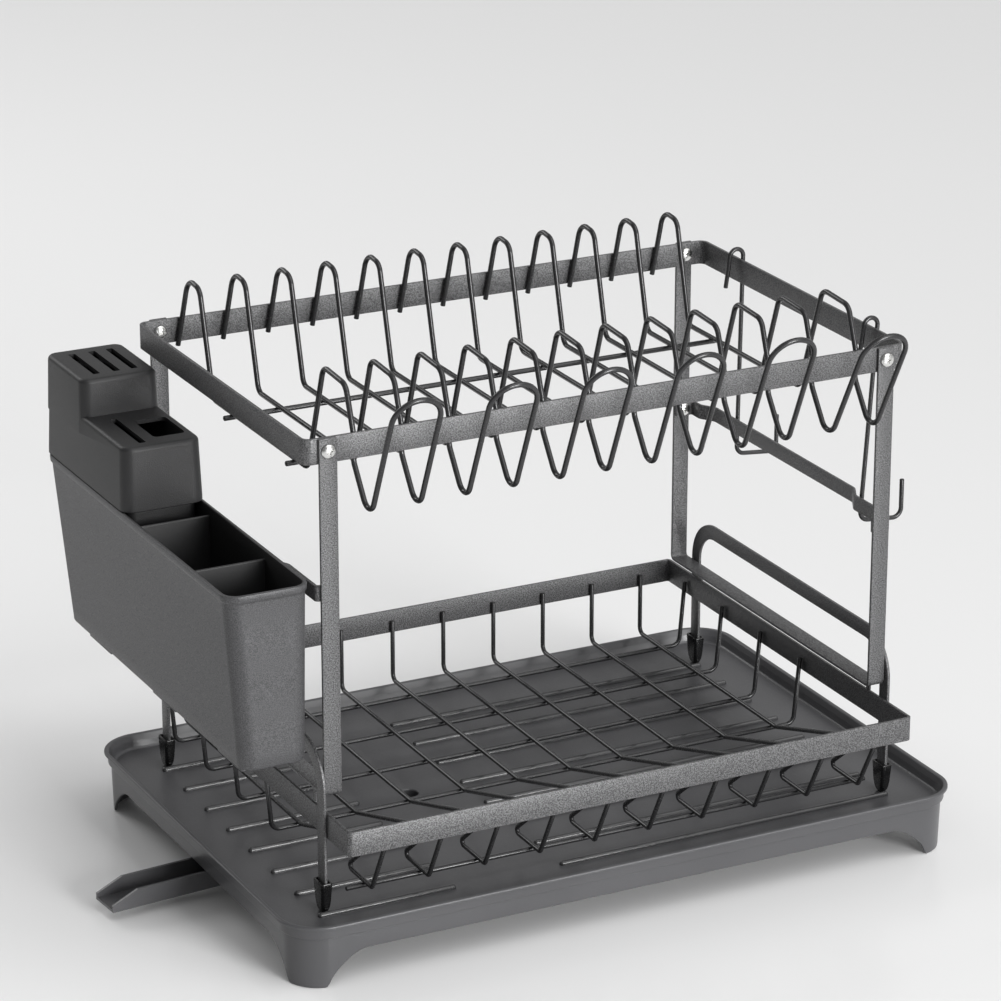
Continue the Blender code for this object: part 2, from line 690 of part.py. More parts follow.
def make_crossbar(name, side, bar_z):
    """Joggled strip between two posts, with an end tab behind each post."""
    front, back = post_planes()
    tab_front = front + STRIP_T + GAP
    tab_back = back - STRIP_T - GAP
    corners = [
        (POST_X - POST_W / 2 + 0.0005, tab_front), (BAR_END_X, tab_front), (BAR_END_X, BAR_FRONT_JOG[0]),
        (BAR_X, BAR_FRONT_JOG[1]), (BAR_X, BAR_BACK_JOG[1]), (BAR_END_X, BAR_BACK_JOG[0]),
        (BAR_END_X, tab_back), (POST_X - POST_W / 2 + 0.0005, tab_back),
    ]
    path = filleted([(side * x, y, 0) for x, y in corners], 0.0015, 2)
    bar = piece(name, ribbon(name, path, STRIP_T, bar_z, bar_z + BAR_H, "XY"), "strip_grey")
    screw_hole(bar, "hole_front", side * POST_X, tab_front, bar_z + BAR_H / 2)
    screw_hole(bar, "hole_back", side * POST_X, tab_back, bar_z + BAR_H / 2)


def make_screw(name, x, seat_y, z, towards, length):
    """Pan-head screw: seat_y is the face under its head, towards is +1 or -1 along Y."""
    head = SCREW_HEAD_R
    tall = SCREW_HEAD_H
    profile = [
        (0, tall), (head * 0.45, tall * 0.95), (head * 0.82, tall * 0.66), (head, tall * 0.15),
        (head, 0), (SCREW_R, 0), (SCREW_R, -length), (0, -length),
    ]
    screw = turned(name, profile, "screw_zinc", 12)
    screw.rotation_euler = (towards * math.pi / 2, 0, 0)
    screw.location = (x, seat_y - towards * GAP, z)
    low_y, high_y = sorted(seat_y - towards * (GAP + level) for level in (tall + 0.001, tall * 0.45))
    for tag, wide, high in (("across", RECESS_W, RECESS_T), ("upright", RECESS_T, RECESS_W)):
        arm = box("arm", (x - wide / 2, low_y, z - high / 2), (x + wide / 2, high_y, z + high / 2))
        combine(screw, "recess_" + tag, arm, "DIFFERENCE")


def make_screws():
    """Screws that join posts, upper frame and crossbars."""
    front, back = post_planes()
    middle = UPPER_TOP_Z - STRIP_H / 2
    half = STRIP_T / 2
    for side, tag, bar_z in ((-1, "left", LEFT_BAR_Z), (1, "right", RIGHT_BAR_Z)):
        x = side * POST_X
        make_screw("post_screw_front_" + tag, x, front - half, middle, 1, 0.008)
        make_screw("post_screw_back_" + tag, x, UPPER_BACK_Y - STRIP_T, middle, 1, 0.0065)
        bar_mid = bar_z + BAR_H / 2
        make_screw("bar_screw_front_" + tag, x, front + half + GAP + STRIP_T, bar_mid, -1, 0.0042)
        make_screw("bar_screw_back_" + tag, x, back - half - GAP - STRIP_T, bar_mid, 1, 0.0042)


# -------------------------------------------------------------------- upper rack


def divider_x(index):
    """Place of one divider along the rack."""
    return (index - (DIVIDERS - 1) / 2) * DIVIDER_PITCH


def divider_side(x):
    """One divider's path in its upright plane, from the back strip to the front valley."""
    clear = GAP + WIRE_D / 2
    back = UPPER_BACK_Y - STRIP_T - clear
    front = UPPER_FRONT_Y + STRIP_T + clear
    strip_low = UPPER_TOP_Z - STRIP_H
    corners = [
        (x - BACK_LEG_LEAN, back, strip_low - 0.002), (x, BACK_HOOP_Y[0], HOOP_Z - 0.002),
        (x, BACK_HOOP_Y[1], HOOP_Z - 0.004), (x, FLOOR_Y[0], RACK_FLOOR_Z),
        (x, FLOOR_Y[1], RACK_FLOOR_Z), (x, FRONT_HOOP_Y[0], HOOP_Z),
        (x, FRONT_HOOP_Y[1], HOOP_Z - 0.002), (x, front, UPPER_TOP_Z - 0.001),
        (x, front, strip_low - 0.003), (x, VALLEY[0], VALLEY[1]),
    ]
    return corners


def loop_point(x, height):
    """A point on the slanted plane that the front loops lie in; height runs from 0 to 1."""
    y = VALLEY[0] + (LOOP_TOP[0] - VALLEY[0]) * height
    z = VALLEY[1] + (LOOP_TOP[1] - VALLEY[1]) * height
    return Vector((x, y, z))


def make_divider(number):
    """A pair of dividers made from one wire, joined at the front by a tall round loop."""
    left, right = divider_x(2 * number - 2), divider_x(2 * number - 1)
    last = 2 * number == DIVIDERS
    lean, full = (LAST_LOOP_LEAN, LAST_LOOP_SHARE) if last else (0.0, 1.0)
    slant = (loop_point(0, 1) - loop_point(0, 0)).length
    radius = (right - left) / 2
    start = full - radius / slant
    crown = []
    for step in range(9):
        angle = math.pi * step / 8
        height = start + (full - start) * math.sin(angle)
        crown.append(loop_point((left + right) / 2 - radius * math.cos(angle) + lean * height, height))
    one = filleted(divider_side(left) + [crown[0]], DIVIDER_BENDS, 2)
    other = filleted(divider_side(right) + [crown[-1]], DIVIDER_BENDS, 2)
    path = one + crown[1:-1] + list(reversed(other))
    wire("divider_%d" % number, path, WIRE_D)


def make_upper_wires():
    """Dividers and the two wires under their floor."""
    for number in range(1, DIVIDERS // 2 + 1):
        make_divider(number)
    end = divider_x(DIVIDERS - 1) + 0.005
    z = RACK_FLOOR_Z - WIRE_D - GAP
    for number, y in enumerate(UPPER_CROSS_YS, 1):
        wire("upper_cross_wire_%d" % number, [(-end, y, z), (end, y, z)], WIRE_D)


# -------------------------------------------------------------------- lower rack


def make_lower_wire(number):
    """Floor wire that ramps up to the front strip and folds back under it as a hook."""
    x = (number - (LOWER_WIRES + 1) / 2) * LOWER_WIRE_PITCH
    clear = GAP + THIN_WIRE_D / 2
    back = LOWER_Y / 2 - STRIP_T - clear
    front = -back
    corners = [
        (x, back, LOWER_TOP_Z - LOWER_TIP_DROP), (x, back, LOWER_FLOOR_Z),
        (x, RAMP_FOOT_Y, LOWER_FLOOR_Z), (x, RAMP_PEAK_Y, RAMP_PEAK_Z), (x, HOOK_BACK_Y, LOWER_FLOOR_Z),
        (x, HOOK_FRONT_Y, LOWER_FLOOR_Z), (x, front, LOWER_TOP_Z - STRIP_H),
        (x, front, LOWER_TOP_Z - LOWER_TIP_DROP),
    ]
    wire("lower_wire_%02d" % number, filleted(corners, 0.0026, 2), THIN_WIRE_D)


def make_lower_wires():
    """Floor wires, the cross wires under them and the tie wire under the hooks."""
    for number in range(1, LOWER_WIRES + 1):
        make_lower_wire(number)
    z = LOWER_FLOOR_Z - THIN_WIRE_D - GAP
    end = LOWER_X / 2 - STRIP_T - GAP - THIN_WIRE_D / 2
    tip = LOWER_TOP_Z - LOWER_TIP_DROP
    for number, y in enumerate(CROSS_YS, 1):
        corners = [(-end, y, tip), (CROSS_LEAN - end, y, z), (end - CROSS_LEAN, y, z), (end, y, tip)]
        wire("lower_cross_wire_%d" % number, filleted(corners, CROSS_BEND_R, 4), THIN_WIRE_D)
    wire("hook_tie_wire", [(-TIE_X, TIE_Y, z), (TIE_X, TIE_Y, z)], THIN_WIRE_D)


# ------------------------------------------------------------ cutting board holder


def make_board_hooks():
    """Two long hooks over the upper frame's right strip, with upturned arms low down."""
    strip_x = UPPER_X / 2 - STRIP_T / 2
    top = UPPER_TOP_Z + 0.0005
    names = ("board_hook_front", "board_hook_back")
    for name, y, leg_x, bottom in zip(names, BOARD_YS, BOARD_LEG_XS, BOARD_BOTTOM_ZS):
        inner_x = strip_x - BOARD_HOOK_R
        path = [Vector((inner_x - BOARD_HOOK_SPLAY, y, top - 0.021))]
        for step in range(7):
            angle = math.pi * step / 6
            x = strip_x - BOARD_HOOK_R * math.cos(angle)
            path.append(Vector((x, y, top + BOARD_HOOK_R * math.sin(angle))))
        low = bottom - BOARD_SAG
        corners = [
            path[-1], (leg_x, y, bottom), (leg_x + BOARD_REACH, y, low),
            (leg_x + BOARD_REACH, y, low + BOARD_UPTURN),
        ]
        wire(name, path[:-1] + filleted(corners, 0.006, 3), THIN_WIRE_D)


# ------------------------------------------------- utensil holder and knife block


def holder_rect(z):
    """The holder's outer rectangle at height z, between base and rim."""
    share = (z - HOLDER_BASE_Z) / (HOLDER_TOP_Z - HOLDER_BASE_Z)
    return tuple(a + (b - a) * share for a, b in zip(HOLDER_BASE, HOLDER_RIM))


def holder_loop(z, inset, steps=4):
    """A rounded loop on the holder's tapered wall, moved in by the inset."""
    return rounded_rect(*shrunk(holder_rect(z), inset), HOLDER_R - inset, z, steps)


def make_holder():
    """Long tapered bin with a beaded rim, two partitions, foot pads and hooks for the crossbar."""
    top, base, bead = HOLDER_TOP_Z, HOLDER_BASE_Z, HOLDER_BEAD
    loops = [
        rounded_rect(*shrunk(holder_rect(base), 0.002), HOLDER_R - 0.002, base, 4),
        holder_loop(base + 0.002, 0.0), holder_loop(top - 0.0045, 0.0),
        rounded_rect(*shrunk(holder_rect(top), -bead), HOLDER_R + bead, top - 0.0035, 4),
        rounded_rect(*shrunk(holder_rect(top), -bead), HOLDER_R + bead, top, 4),
        holder_loop(top, HOLDER_WALL), holder_loop(base + HOLDER_WALL, HOLDER_WALL),
    ]
    holder = piece("utensil_holder", loft("utensil_holder", loops), "holder_grey")
    combine(holder, "partitions", merged("partitions", holder_partitions()), "UNION")
    combine(holder, "pads", merged("pads", holder_pads()), "UNION")
    combine(holder, "hooks", merged("hooks", holder_hooks()), "UNION")


def holder_partitions():
    """Two thin cross walls, sunk half-way into the side walls and floor."""
    walls = []
    half = PARTITION_T / 2
    sink = HOLDER_WALL / 2
    low_z, high_z = HOLDER_BASE_Z + sink, HOLDER_TOP_Z - PARTITION_DROP
    for y in PARTITION_YS:
        rows = []
        for z in (low_z, high_z):
            x0, x1, _, _ = shrunk(holder_rect(z), sink)
            rows.append([(x0, y - half, z), (x1, y - half, z), (x1, y + half, z), (x0, y + half, z)])
        walls.append(loft("partition", rows))
    return walls


def holder_pads():
    """Three low pads under the floor, near its outer edge."""
    x0, x1, _, _ = shrunk(HOLDER_BASE, 0.0030)
    pads = []
    for y in PAD_YS:
        low = (x0, y - PAD_LENGTH / 2, HOLDER_BASE_Z - PAD_H)
        pads.append(box("pad", low, (x1, y + PAD_LENGTH / 2, HOLDER_BASE_Z + HOLDER_WALL / 2)))
    return pads


def holder_hooks():
    """Two short hooks from the rim that reach over the left crossbar."""
    inner = -(BAR_X - STRIP_T / 2) + GAP
    low = LEFT_BAR_Z + BAR_H + GAP
    wall = holder_rect(low)[1] - HOLDER_WALL / 2
    outer = inner + HOLDER_WALL
    tip = low - GAP - HOLDER_HOOK_DEEP
    high = low + 0.0022
    outline = [(wall, low), (inner, low), (inner, tip), (outer, tip), (outer, high), (wall, high)]
    hooks = []
    for y in HOLDER_HOOK_YS:
        hooks.append(plate("hook", [outline], y - HOLDER_HOOK_W / 2, y + HOLDER_HOOK_W / 2, "XZ"))
    return hooks


def block_box(name, rect, z0, z1, taper, radius=0.007, crown=0.002):
    """A rounded box that narrows upwards, with a small bevel round its top."""
    lid = shrunk(rect, taper)
    loops = [
        rounded_rect(*rect, radius, z0),
        rounded_rect(*lid, radius - taper, z1 - crown),
        rounded_rect(*shrunk(lid, crown), radius - taper - crown, z1),
    ]
    return loft(name, loops)


def make_knife_block():
    """Two-step hollow insert that rests on the holder's rim, open below."""
    x0, x1, _, _ = HOLDER_RIM
    front, step, back = BLOCK_Y
    base_z = HOLDER_TOP_Z + GAP
    over = BLOCK_OVERHANG
    rim = (x0 - over, x1 + over, front, back + over)
    block = piece("knife_block", block_box("knife_block", rim, base_z, BLOCK_STEP_Z, 0.001), "block_black")
    tall = shrunk((x0 - over, x1 + over, step, back + over), 0.0006)
    upper = block_box("upper", tall, BLOCK_STEP_Z - 0.010, BLOCK_TOP_Z, 0.0006)
    combine(block, "upper", upper, "UNION")
    mouth = shrunk(holder_rect(BLOCK_SKIRT_Z), HOLDER_WALL + BLOCK_FIT)
    skirt = (mouth[0], mouth[1], front + 0.006, mouth[3])
    combine(block, "skirt", prism("skirt", skirt, 0.006, BLOCK_SKIRT_Z, base_z + 0.004), "UNION")
    wall = BLOCK_WALL
    low = shrunk(skirt, wall)
    hollow = prism("hollow", low, 0.0035, BLOCK_SKIRT_Z - 0.001, BLOCK_STEP_Z - wall)
    combine(block, "hollow", hollow, "DIFFERENCE")
    high = (low[0], low[1], step + 0.0006 + wall, low[3])
    attic = prism("attic", high, 0.0035, BLOCK_STEP_Z - wall - 0.002, BLOCK_TOP_Z - wall)
    combine(block, "attic", attic, "DIFFERENCE")
    combine(block, "slots", merged("slots", block_slots()), "DIFFERENCE")


def block_slots():
    """Cutters for the knife slots and the square hole."""
    half = SLOT_W / 2
    above = 0.002
    cuts = []
    y0, y1 = SLOT_Y
    for x in SLOT_XS:
        low = (x - half, y0, BLOCK_TOP_Z - SLOT_DEEP)
        cuts.append(box("slot", low, (x + half, y1, BLOCK_TOP_Z + above)))
    low_z, high_z = BLOCK_STEP_Z - SLOT_DEEP, BLOCK_STEP_Z + above
    y0, y1 = THIN_SLOT_Y
    cuts.append(box("slot", (THIN_SLOT_X - half, y0, low_z), (THIN_SLOT_X + half, y1, high_z)))
    (x0, x1), (y0, y1) = SQUARE_X, SQUARE_Y
    cuts.append(box("square", (x0, y0, low_z), (x1, y1, high_z)))
    return cuts


# ----------------------------------------------------------------------- assembly


def set_origin(obj, place):
    """Moves an object's origin without moving its shape."""
    obj.data.transform(Matrix.Translation(-Vector(place)))
    obj.location = place


def centre_on_origin():
    """Moves the root empty so that the world origin is under the middle of the rack's outline."""
    bpy.context.view_layer.update()
    graph = bpy.context.evaluated_depsgraph_get()
    xs, ys = [], []
    for obj in PARTS.objects:
        if obj.type == "EMPTY":
            continue
        shape = obj.evaluated_get(graph)
        data = shape.to_mesh()
        for vertex in data.vertices:
            spot = shape.matrix_world @ vertex.co
            xs.append(spot.x)
            ys.append(spot.y)
        shape.to_mesh_clear()
    ROOT.location = (-(min(xs) + max(xs)) / 2, -(min(ys) + max(ys)) / 2, 0)


def build():
    """Makes every piece of the rack."""
    make_tray()
    make_spout()
    make_lower_frame()
    make_upper_frame()
    for side, tag, bar_z in ((-1, "left", LEFT_BAR_Z), (1, "right", RIGHT_BAR_Z)):
        make_leg_arch("leg_arch_" + tag, side)
        make_foot("foot_front_" + tag, side, -FOOT_Y)
        make_foot("foot_back_" + tag, side, FOOT_Y)
        make_post_frame("post_frame_" + tag, side, bar_z)
        make_crossbar("crossbar_" + tag, side, bar_z)
    make_screws()
    make_upper_wires()
    make_lower_wires()
    make_board_hooks()
    make_holder()
    make_knife_block()
    centre_on_origin()


clear_scene()
PARTS = collection("dish_rack")
TOOLS = collection("boolean_tools", hidden=True)
ROOT = bpy.data.objects.new("dish_rack_origin", None)
PARTS.objects.link(ROOT)
build()
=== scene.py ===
"""Looks of the two-tier dish rack: smooth wires, rounded strips, moulded tray and bin."""

import math

import bmesh
import bpy
import numpy as np
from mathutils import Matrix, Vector


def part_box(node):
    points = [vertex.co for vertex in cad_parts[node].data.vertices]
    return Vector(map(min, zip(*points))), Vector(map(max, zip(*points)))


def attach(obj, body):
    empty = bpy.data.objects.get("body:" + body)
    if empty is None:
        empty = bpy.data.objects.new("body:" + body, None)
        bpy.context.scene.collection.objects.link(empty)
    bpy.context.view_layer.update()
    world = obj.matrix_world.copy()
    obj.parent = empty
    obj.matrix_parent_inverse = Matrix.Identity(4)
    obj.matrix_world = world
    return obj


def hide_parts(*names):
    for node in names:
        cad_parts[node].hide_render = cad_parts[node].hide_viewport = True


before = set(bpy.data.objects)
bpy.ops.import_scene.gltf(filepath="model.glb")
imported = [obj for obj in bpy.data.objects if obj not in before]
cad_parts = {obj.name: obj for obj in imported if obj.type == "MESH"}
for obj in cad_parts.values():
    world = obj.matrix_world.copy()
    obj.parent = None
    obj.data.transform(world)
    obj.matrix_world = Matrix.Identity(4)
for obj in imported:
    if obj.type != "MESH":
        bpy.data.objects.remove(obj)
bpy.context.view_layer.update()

GAP = 0.0003
STRIP_T = 0.002
WIRE_R = 0.0017
THIN_R = 0.0015

# The pieces below are laid out from the middle of the tray; CENTRE moves them to the row frame.
TRAY_LOW, TRAY_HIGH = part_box("drip_tray")
CENTRE = np.array([(TRAY_LOW.x + TRAY_HIGH.x) / 2, (TRAY_LOW.y + TRAY_HIGH.y) / 2, 0.0])

TRAY = {
    "x": 0.471, "y": 0.328, "top": 0.0423, "corner": 0.028, "wall": 0.002, "floor": 0.0332,
    "skirt": 0.0215, "band_h": 0.0090, "band_in": 0.0022, "step_in": 0.0044,
    "leg_flat": 0.0155, "leg_flare": 0.029, "leg_draw": 0.0004,
}
RIB_W, RIB_H = 0.0040, 0.0026
RIB_YS = [-0.1300 + 0.0351 * row for row in range(8)]
RIB_SPANS = ((-0.205, -0.112), (-0.040, 0.199))
DRAIN = (-0.076, 0.0115)
NOZZLE_Z = 0.0160

LOWER = {"x": 0.394, "y": 0.318, "top": 0.0988, "low": 0.0828, "floor": 0.0490}
UPPER = {"x": 0.412, "front": -0.122, "back": 0.134, "top": 0.336, "low": 0.320}
POST_X, POST_W, POST_FLOOR_Z = 0.191, 0.0116, 0.108
PIN_YS = (-0.108, 0.112)
ARCH_X, ARCH_W, ARCH_TOP_Z, FOOT_Y = 0.1973, 0.010, 0.142, 0.123
BARS = {"left": (-1, 0.234), "right": (1, 0.213)}
BAR_H = 0.010

# Upper wires: one divider, from its back hoop over the floor to its front hoop and the loops' valleys.
PITCH = 0.03127
BACK_LEAN = 0.008
BACK_HOOP = ((0.1296, 0.3615), (0.111, 0.3595))
FLOOR_RUN = ((0.093, 0.292), (-0.052, 0.292))
FRONT_HOOP = ((-0.077, 0.3635), (-0.108, 0.3615))
VALLEY_Y, VALLEY_Z = -0.140, 0.286
LOOP_OUT, LOOP_UP = 0.037, 0.084
LAST_LEAN, LAST_SHARE = 0.006, 0.90
UPPER_CROSS_YS = (0.065, -0.030)

# Lower wires: floor wires with a ramp and a folded hook, cross wires with upright ends, one tie wire.
BASKET_PITCH = 0.0382
BASKET_TIP_DROP = 0.007
BASKET_FOLDS = ((-0.033, 0.0), (-0.143, 0.0345), (-0.101, 0.0), (-0.137, 0.0))
BASKET_BENDS = [0.005, 0.008, 0.0024, 0.0026, 0.0028, 0.008]
BASKET_CROSS_YS = (-0.026, 0.026, 0.078, 0.130)
CROSS_LEAN, CROSS_BEND = 0.004, 0.006
TIE_X, TIE_Y = 0.184, -0.125

# Board hooks: y, the long leg's x and the arm's height, front and back.
BOARD_HOOKS = (("front", -0.082, 0.2013, 0.206), ("back", 0.088, 0.2080, 0.197))
BOARD_HOOK_R, BOARD_REACH, BOARD_SAG, BOARD_UPTURN = 0.005, 0.031, 0.003, 0.026

# Bin and knife insert.
HOLDER_RIM = (-0.261, -0.2076, -0.133, 0.158)
HOLDER_BASE = (-0.252, -0.209, -0.131, 0.151)
HOLDER_Z = (0.137, 0.251)
HOLDER_WALL, HOLDER_R = 0.0018, 0.010
PARTITION_YS = (-0.070, 0.015)
PAD_YS, PAD_HALF, PAD_H = (-0.102, 0.0, 0.106), 0.018, 0.0035
HOLDER_HOOK_YS, HOLDER_HOOK_HALF, HOLDER_HOOK_DEEP = (-0.040, 0.090), 0.010, 0.007
INSERT = {
    "front": 0.024, "step": 0.092, "step_z": 0.293, "top": 0.317, "skirt_z": 0.225, "wall": 0.0025, "over": 0.0006,
}
SLOT_HALF = 0.0023
SLOT_XS, SLOT_YS, SLOT_FLOOR = (-0.246, -0.2325, -0.2205), (0.103, 0.147), 0.300
STEP_SLOT_X, STEP_SLOT_YS, STEP_FLOOR = -0.2445, (0.033, 0.082), 0.280
SQUARE_HOLE = (-0.2345, -0.2135, 0.039, 0.073)


# ------------------------------------------------------------------- materials


def linear(code):
    """The linear colour of an sRGB hex code."""
    shares = np.array([int(code[at:at + 2], 16) / 255 for at in (1, 3, 5)])
    lit = np.where(shares <= 0.04045, shares / 12.92, ((shares + 0.055) / 1.055) ** 2.4)
    return (*lit.tolist(), 1.0)


def add(tree, kind, inputs=None, **settings):
    """A node of this kind; inputs hold values or sockets to link from."""
    node = tree.nodes.new(kind)
    for name, value in settings.items():
        setattr(node, name, value)
    for name, value in (inputs or {}).items():
        if isinstance(value, bpy.types.NodeSocket):
            tree.links.new(value, node.inputs[name])
        else:
            node.inputs[name].default_value = value
    return node


def grain(tree, size, detail=2.0):
    """Noise in object coordinates whose grains are about this many metres across."""
    place = add(tree, "ShaderNodeTexCoord").outputs["Object"]
    noise = add(tree, "ShaderNodeTexNoise", {"Vector": place, "Scale": 1 / size, "Detail": detail})
    return noise.outputs["Fac"]


def ramp(tree, value, low, high, start=0.0, end=1.0):
    """Maps the range low to high of a value onto start to end."""
    spread = {"Value": value, "From Min": low, "From Max": high, "To Min": start, "To Max": end}
    return add(tree, "ShaderNodeMapRange", spread).outputs["Result"]


def mix(tree, share, one, other):
    """Blends two colours by a share."""
    node = add(tree, "ShaderNodeMix", data_type="RGBA")
    tree.links.new(share, node.inputs[0])
    for socket, colour in ((node.inputs[6], one), (node.inputs[7], other)):
        if isinstance(colour, bpy.types.NodeSocket):
            tree.links.new(colour, socket)
        else:
            socket.default_value = colour
    return node.outputs[2]


def finish(name, **values):
    """A Principled material and its node tree, with plain values set on the shader."""
    made = bpy.data.materials.new(name)
    made.use_nodes = True
    shader = made.node_tree.nodes["Principled BSDF"]
    for label, value in values.items():
        shader.inputs[label.replace("_", " ")].default_value = value
    return made, made.node_tree, shader


def bumped(tree, shader, height, distance, strength=1.0):
    """Links a height to the shader's normal."""
    values = {"Height": height, "Distance": distance, "Strength": strength}
    tree.links.new(add(tree, "ShaderNodeBump", values).outputs["Normal"], shader.inputs["Normal"])


def flecked(name, dark, light, size, roughness, distance, **values):
    """Coat with a fine fleck: small lighter grains over a slightly rough ground."""
    made, tree, shader = finish(name, **values)
    fine = grain(tree, size, 3.0)
    share = ramp(tree, fine, 0.36, 0.66)
    tree.links.new(mix(tree, share, linear(dark), linear(light)), shader.inputs["Base Color"])
    gloss = ramp(tree, fine, 0.3, 0.7, roughness + 0.08, roughness - 0.06)
    tree.links.new(gloss, shader.inputs["Roughness"])
    bumped(tree, shader, fine, distance)
    return made


def moulded(name, colour, size, roughness, distance, **values):
    """Moulded plastic: one colour with a faint tone change and a fine grain."""
    made, tree, shader = finish(name, **values)
    broad = ramp(tree, grain(tree, 0.045, 1.0), 0.3, 0.7)
    dark = tuple(0.90 * share for share in linear(colour)[:3]) + (1.0,)
    tree.links.new(mix(tree, broad, dark, linear(colour)), shader.inputs["Base Color"])
    fine = grain(tree, size, 2.0)
    gloss = ramp(tree, fine, 0.3, 0.7, roughness + 0.05, roughness - 0.05)
    tree.links.new(gloss, shader.inputs["Roughness"])
    bumped(tree, shader, fine, distance)
    return made


def make_materials():
    """Every finish of the rack, by name."""
    # Zinc-plated steel, tumbled: bright, with a soft uneven gloss.
    zinc, tree, shader = finish("zinc_plated_steel", Metallic=1.0)
    shader.inputs["Base Color"].default_value = linear("#dcdcda")
    gloss = ramp(tree, grain(tree, 0.0012), 0.3, 0.7, 0.14, 0.30)
    tree.links.new(gloss, shader.inputs["Roughness"])
    return {
        # Hammertone powder coat on flat steel: dark, with lighter flecks about a millimetre apart.
        "strip": flecked(
            "hammertone_powder_coat", "#303031", "#767677", 0.00075, 0.40, 0.00010, Metallic=0.30
        ),
        # Smooth powder coat on round wire: near black, with a narrow highlight along its length.
        "wire": moulded("semi_gloss_wire_coat", "#343435", 0.0010, 0.24, 0.00002, Metallic=0.30),
        # Injection-moulded ABS, satin: even dark grey.
        "tray": moulded("satin_abs", "#4e4e50", 0.0008, 0.34, 0.00003),
        "rib": moulded("polished_abs", "#3c3c3d", 0.0008, 0.16, 0.00002),
        # Moulded polypropylene with a metallic fleck: graphite grey.
        "holder": flecked(
            "flecked_polypropylene", "#333334", "#58585a", 0.00055, 0.46, 0.00007, Metallic=0.15
        ),
        # The bin's inside wall and partitions: the same polypropylene coloured near black, painted shade for the
        # inside of the bin.
        "shaded_inside": moulded("painted_shade_polypropylene", "#1c1c1d", 0.0010, 0.50, 0.00004),
        # Polypropylene with a spark-eroded grain: matt black.
        "block": moulded("grained_polypropylene", "#212122", 0.0006, 0.48, 0.00014),
        # Natural rubber with a moulded gloss: black.
        "rubber": moulded("moulded_rubber", "#0d0d0e", 0.0015, 0.26, 0.00002),
        "zinc": zinc,
    }


# -------------------------------------------------------------------- geometry


def filleted(corners, radius, steps=10):
    """The polyline through these corners with each inner one rounded, by one radius or by one each.

    An arc's point is its middle + start sin((1 - t) w) / sin w + end sin(t w) / sin w, w being its swing."""
    corners = [np.array(corner, float) for corner in corners]
    radii = radius if isinstance(radius, (list, tuple)) else [radius] * (len(corners) - 2)
    path = [corners[0]]
    for before, corner, after, bend in zip(corners, corners[1:], corners[2:], radii):
        back, ahead = before - corner, after - corner
        shorter = min(np.linalg.norm(back), np.linalg.norm(ahead))
        back, ahead = back / np.linalg.norm(back), ahead / np.linalg.norm(ahead)
        half = math.acos(np.clip(back @ ahead, -1, 1)) / 2
        bend = min(bend, 0.45 * math.tan(half) * shorter)
        reach = bend / math.tan(half)
        middle = corner + (back + ahead) / np.linalg.norm(back + ahead) * bend / math.sin(half)
        start, end = corner + back * reach - middle, corner + ahead * reach - middle
        swing = math.pi - 2 * half
        for share in np.linspace(0, 1, steps + 1):
            spoke = start * math.sin((1 - share) * swing) + end * math.sin(share * swing)
            path.append(middle + spoke / math.sin(swing))
    path.append(corners[-1])
    return np.array(path)


def skin(rings, closed=False, capped=True):
    """Skin over rings of equal count: a face joins points j and j + 1 of ring i to those of ring i + 1."""
    rings = np.array(rings, float)
    rows, count = rings.shape[:2]
    at = np.arange(count)
    after = (at + 1) % count
    low = np.arange(rows if closed else rows - 1)[:, None] * count
    high = (low + count) % (rows * count)
    quads = np.stack([low + at, low + after, high + after, high + at], axis=-1)
    faces = quads.reshape(-1, 4).tolist()
    if capped and not closed:
        faces += [at[::-1].tolist(), (at + (rows - 1) * count).tolist()]
    return rings.reshape(-1, 3), faces


def tube(path, radius, sides=18):
    """Round wire: point (i, a) is path point i + radius (side cos a + other side sin a).

    The two sides are carried along the path without twist, and each end has a small round edge."""
    path = np.array(path, float)
    ahead = np.gradient(path, axis=0)
    steps = np.diff(path, axis=0)
    steps /= np.linalg.norm(steps, axis=1)[:, None]
    ahead[1:-1] = steps[:-1] + steps[1:]
    ahead /= np.linalg.norm(ahead, axis=1)[:, None]
    across = [np.cross(ahead[0], [0.31, 0.52, 0.79])]
    for forward in ahead:
        side = across[-1] - forward * (across[-1] @ forward)
        across.append(side / np.linalg.norm(side))
    across = np.array(across[1:])[:, None]
    other = np.cross(ahead[:, None], across)
    angles = np.linspace(0, 2 * math.pi, sides, endpoint=False)[:, None]
    spokes = radius * (np.cos(angles) * across + np.sin(angles) * other)
    rings = path[:, None] + spokes
    wide = np.array([0.75, 0.93, 1.0])[:, None, None]
    back = 0.25 * radius * np.array([0.0, 0.4, 1.0])[:, None, None]
    starts = path[0] + spokes[0] * wide + ahead[0] * back
    ends = path[-1] + spokes[-1] * wide[::-1] - ahead[-1] * back[::-1]
    return skin(np.concatenate([starts, rings[1:-1], ends]))


def rounded_rect(x0, x1, y0, y1, radius, z, steps=10):
    """Ring at height z: each corner's centre plus radius (cos, sin) over its quarter turn."""
    turns = np.radians(np.linspace(0, 90, steps + 1) + 90 * np.arange(-1, 3)[:, None])
    centre_x = np.array([x1 - radius, x1 - radius, x0 + radius, x0 + radius])[:, None]
    centre_y = np.array([y0 + radius, y1 - radius, y1 - radius, y0 + radius])[:, None]
    x, y = centre_x + radius * np.cos(turns), centre_y + radius * np.sin(turns)
    return np.stack([x, y, np.full(x.shape, z)], axis=-1).reshape(-1, 3)


def shrunk(rect, amount):
    """A rectangle (x low, x high, y low, y high) moved in on every side."""
    return (rect[0] + amount, rect[1] - amount, rect[2] + amount, rect[3] - amount)


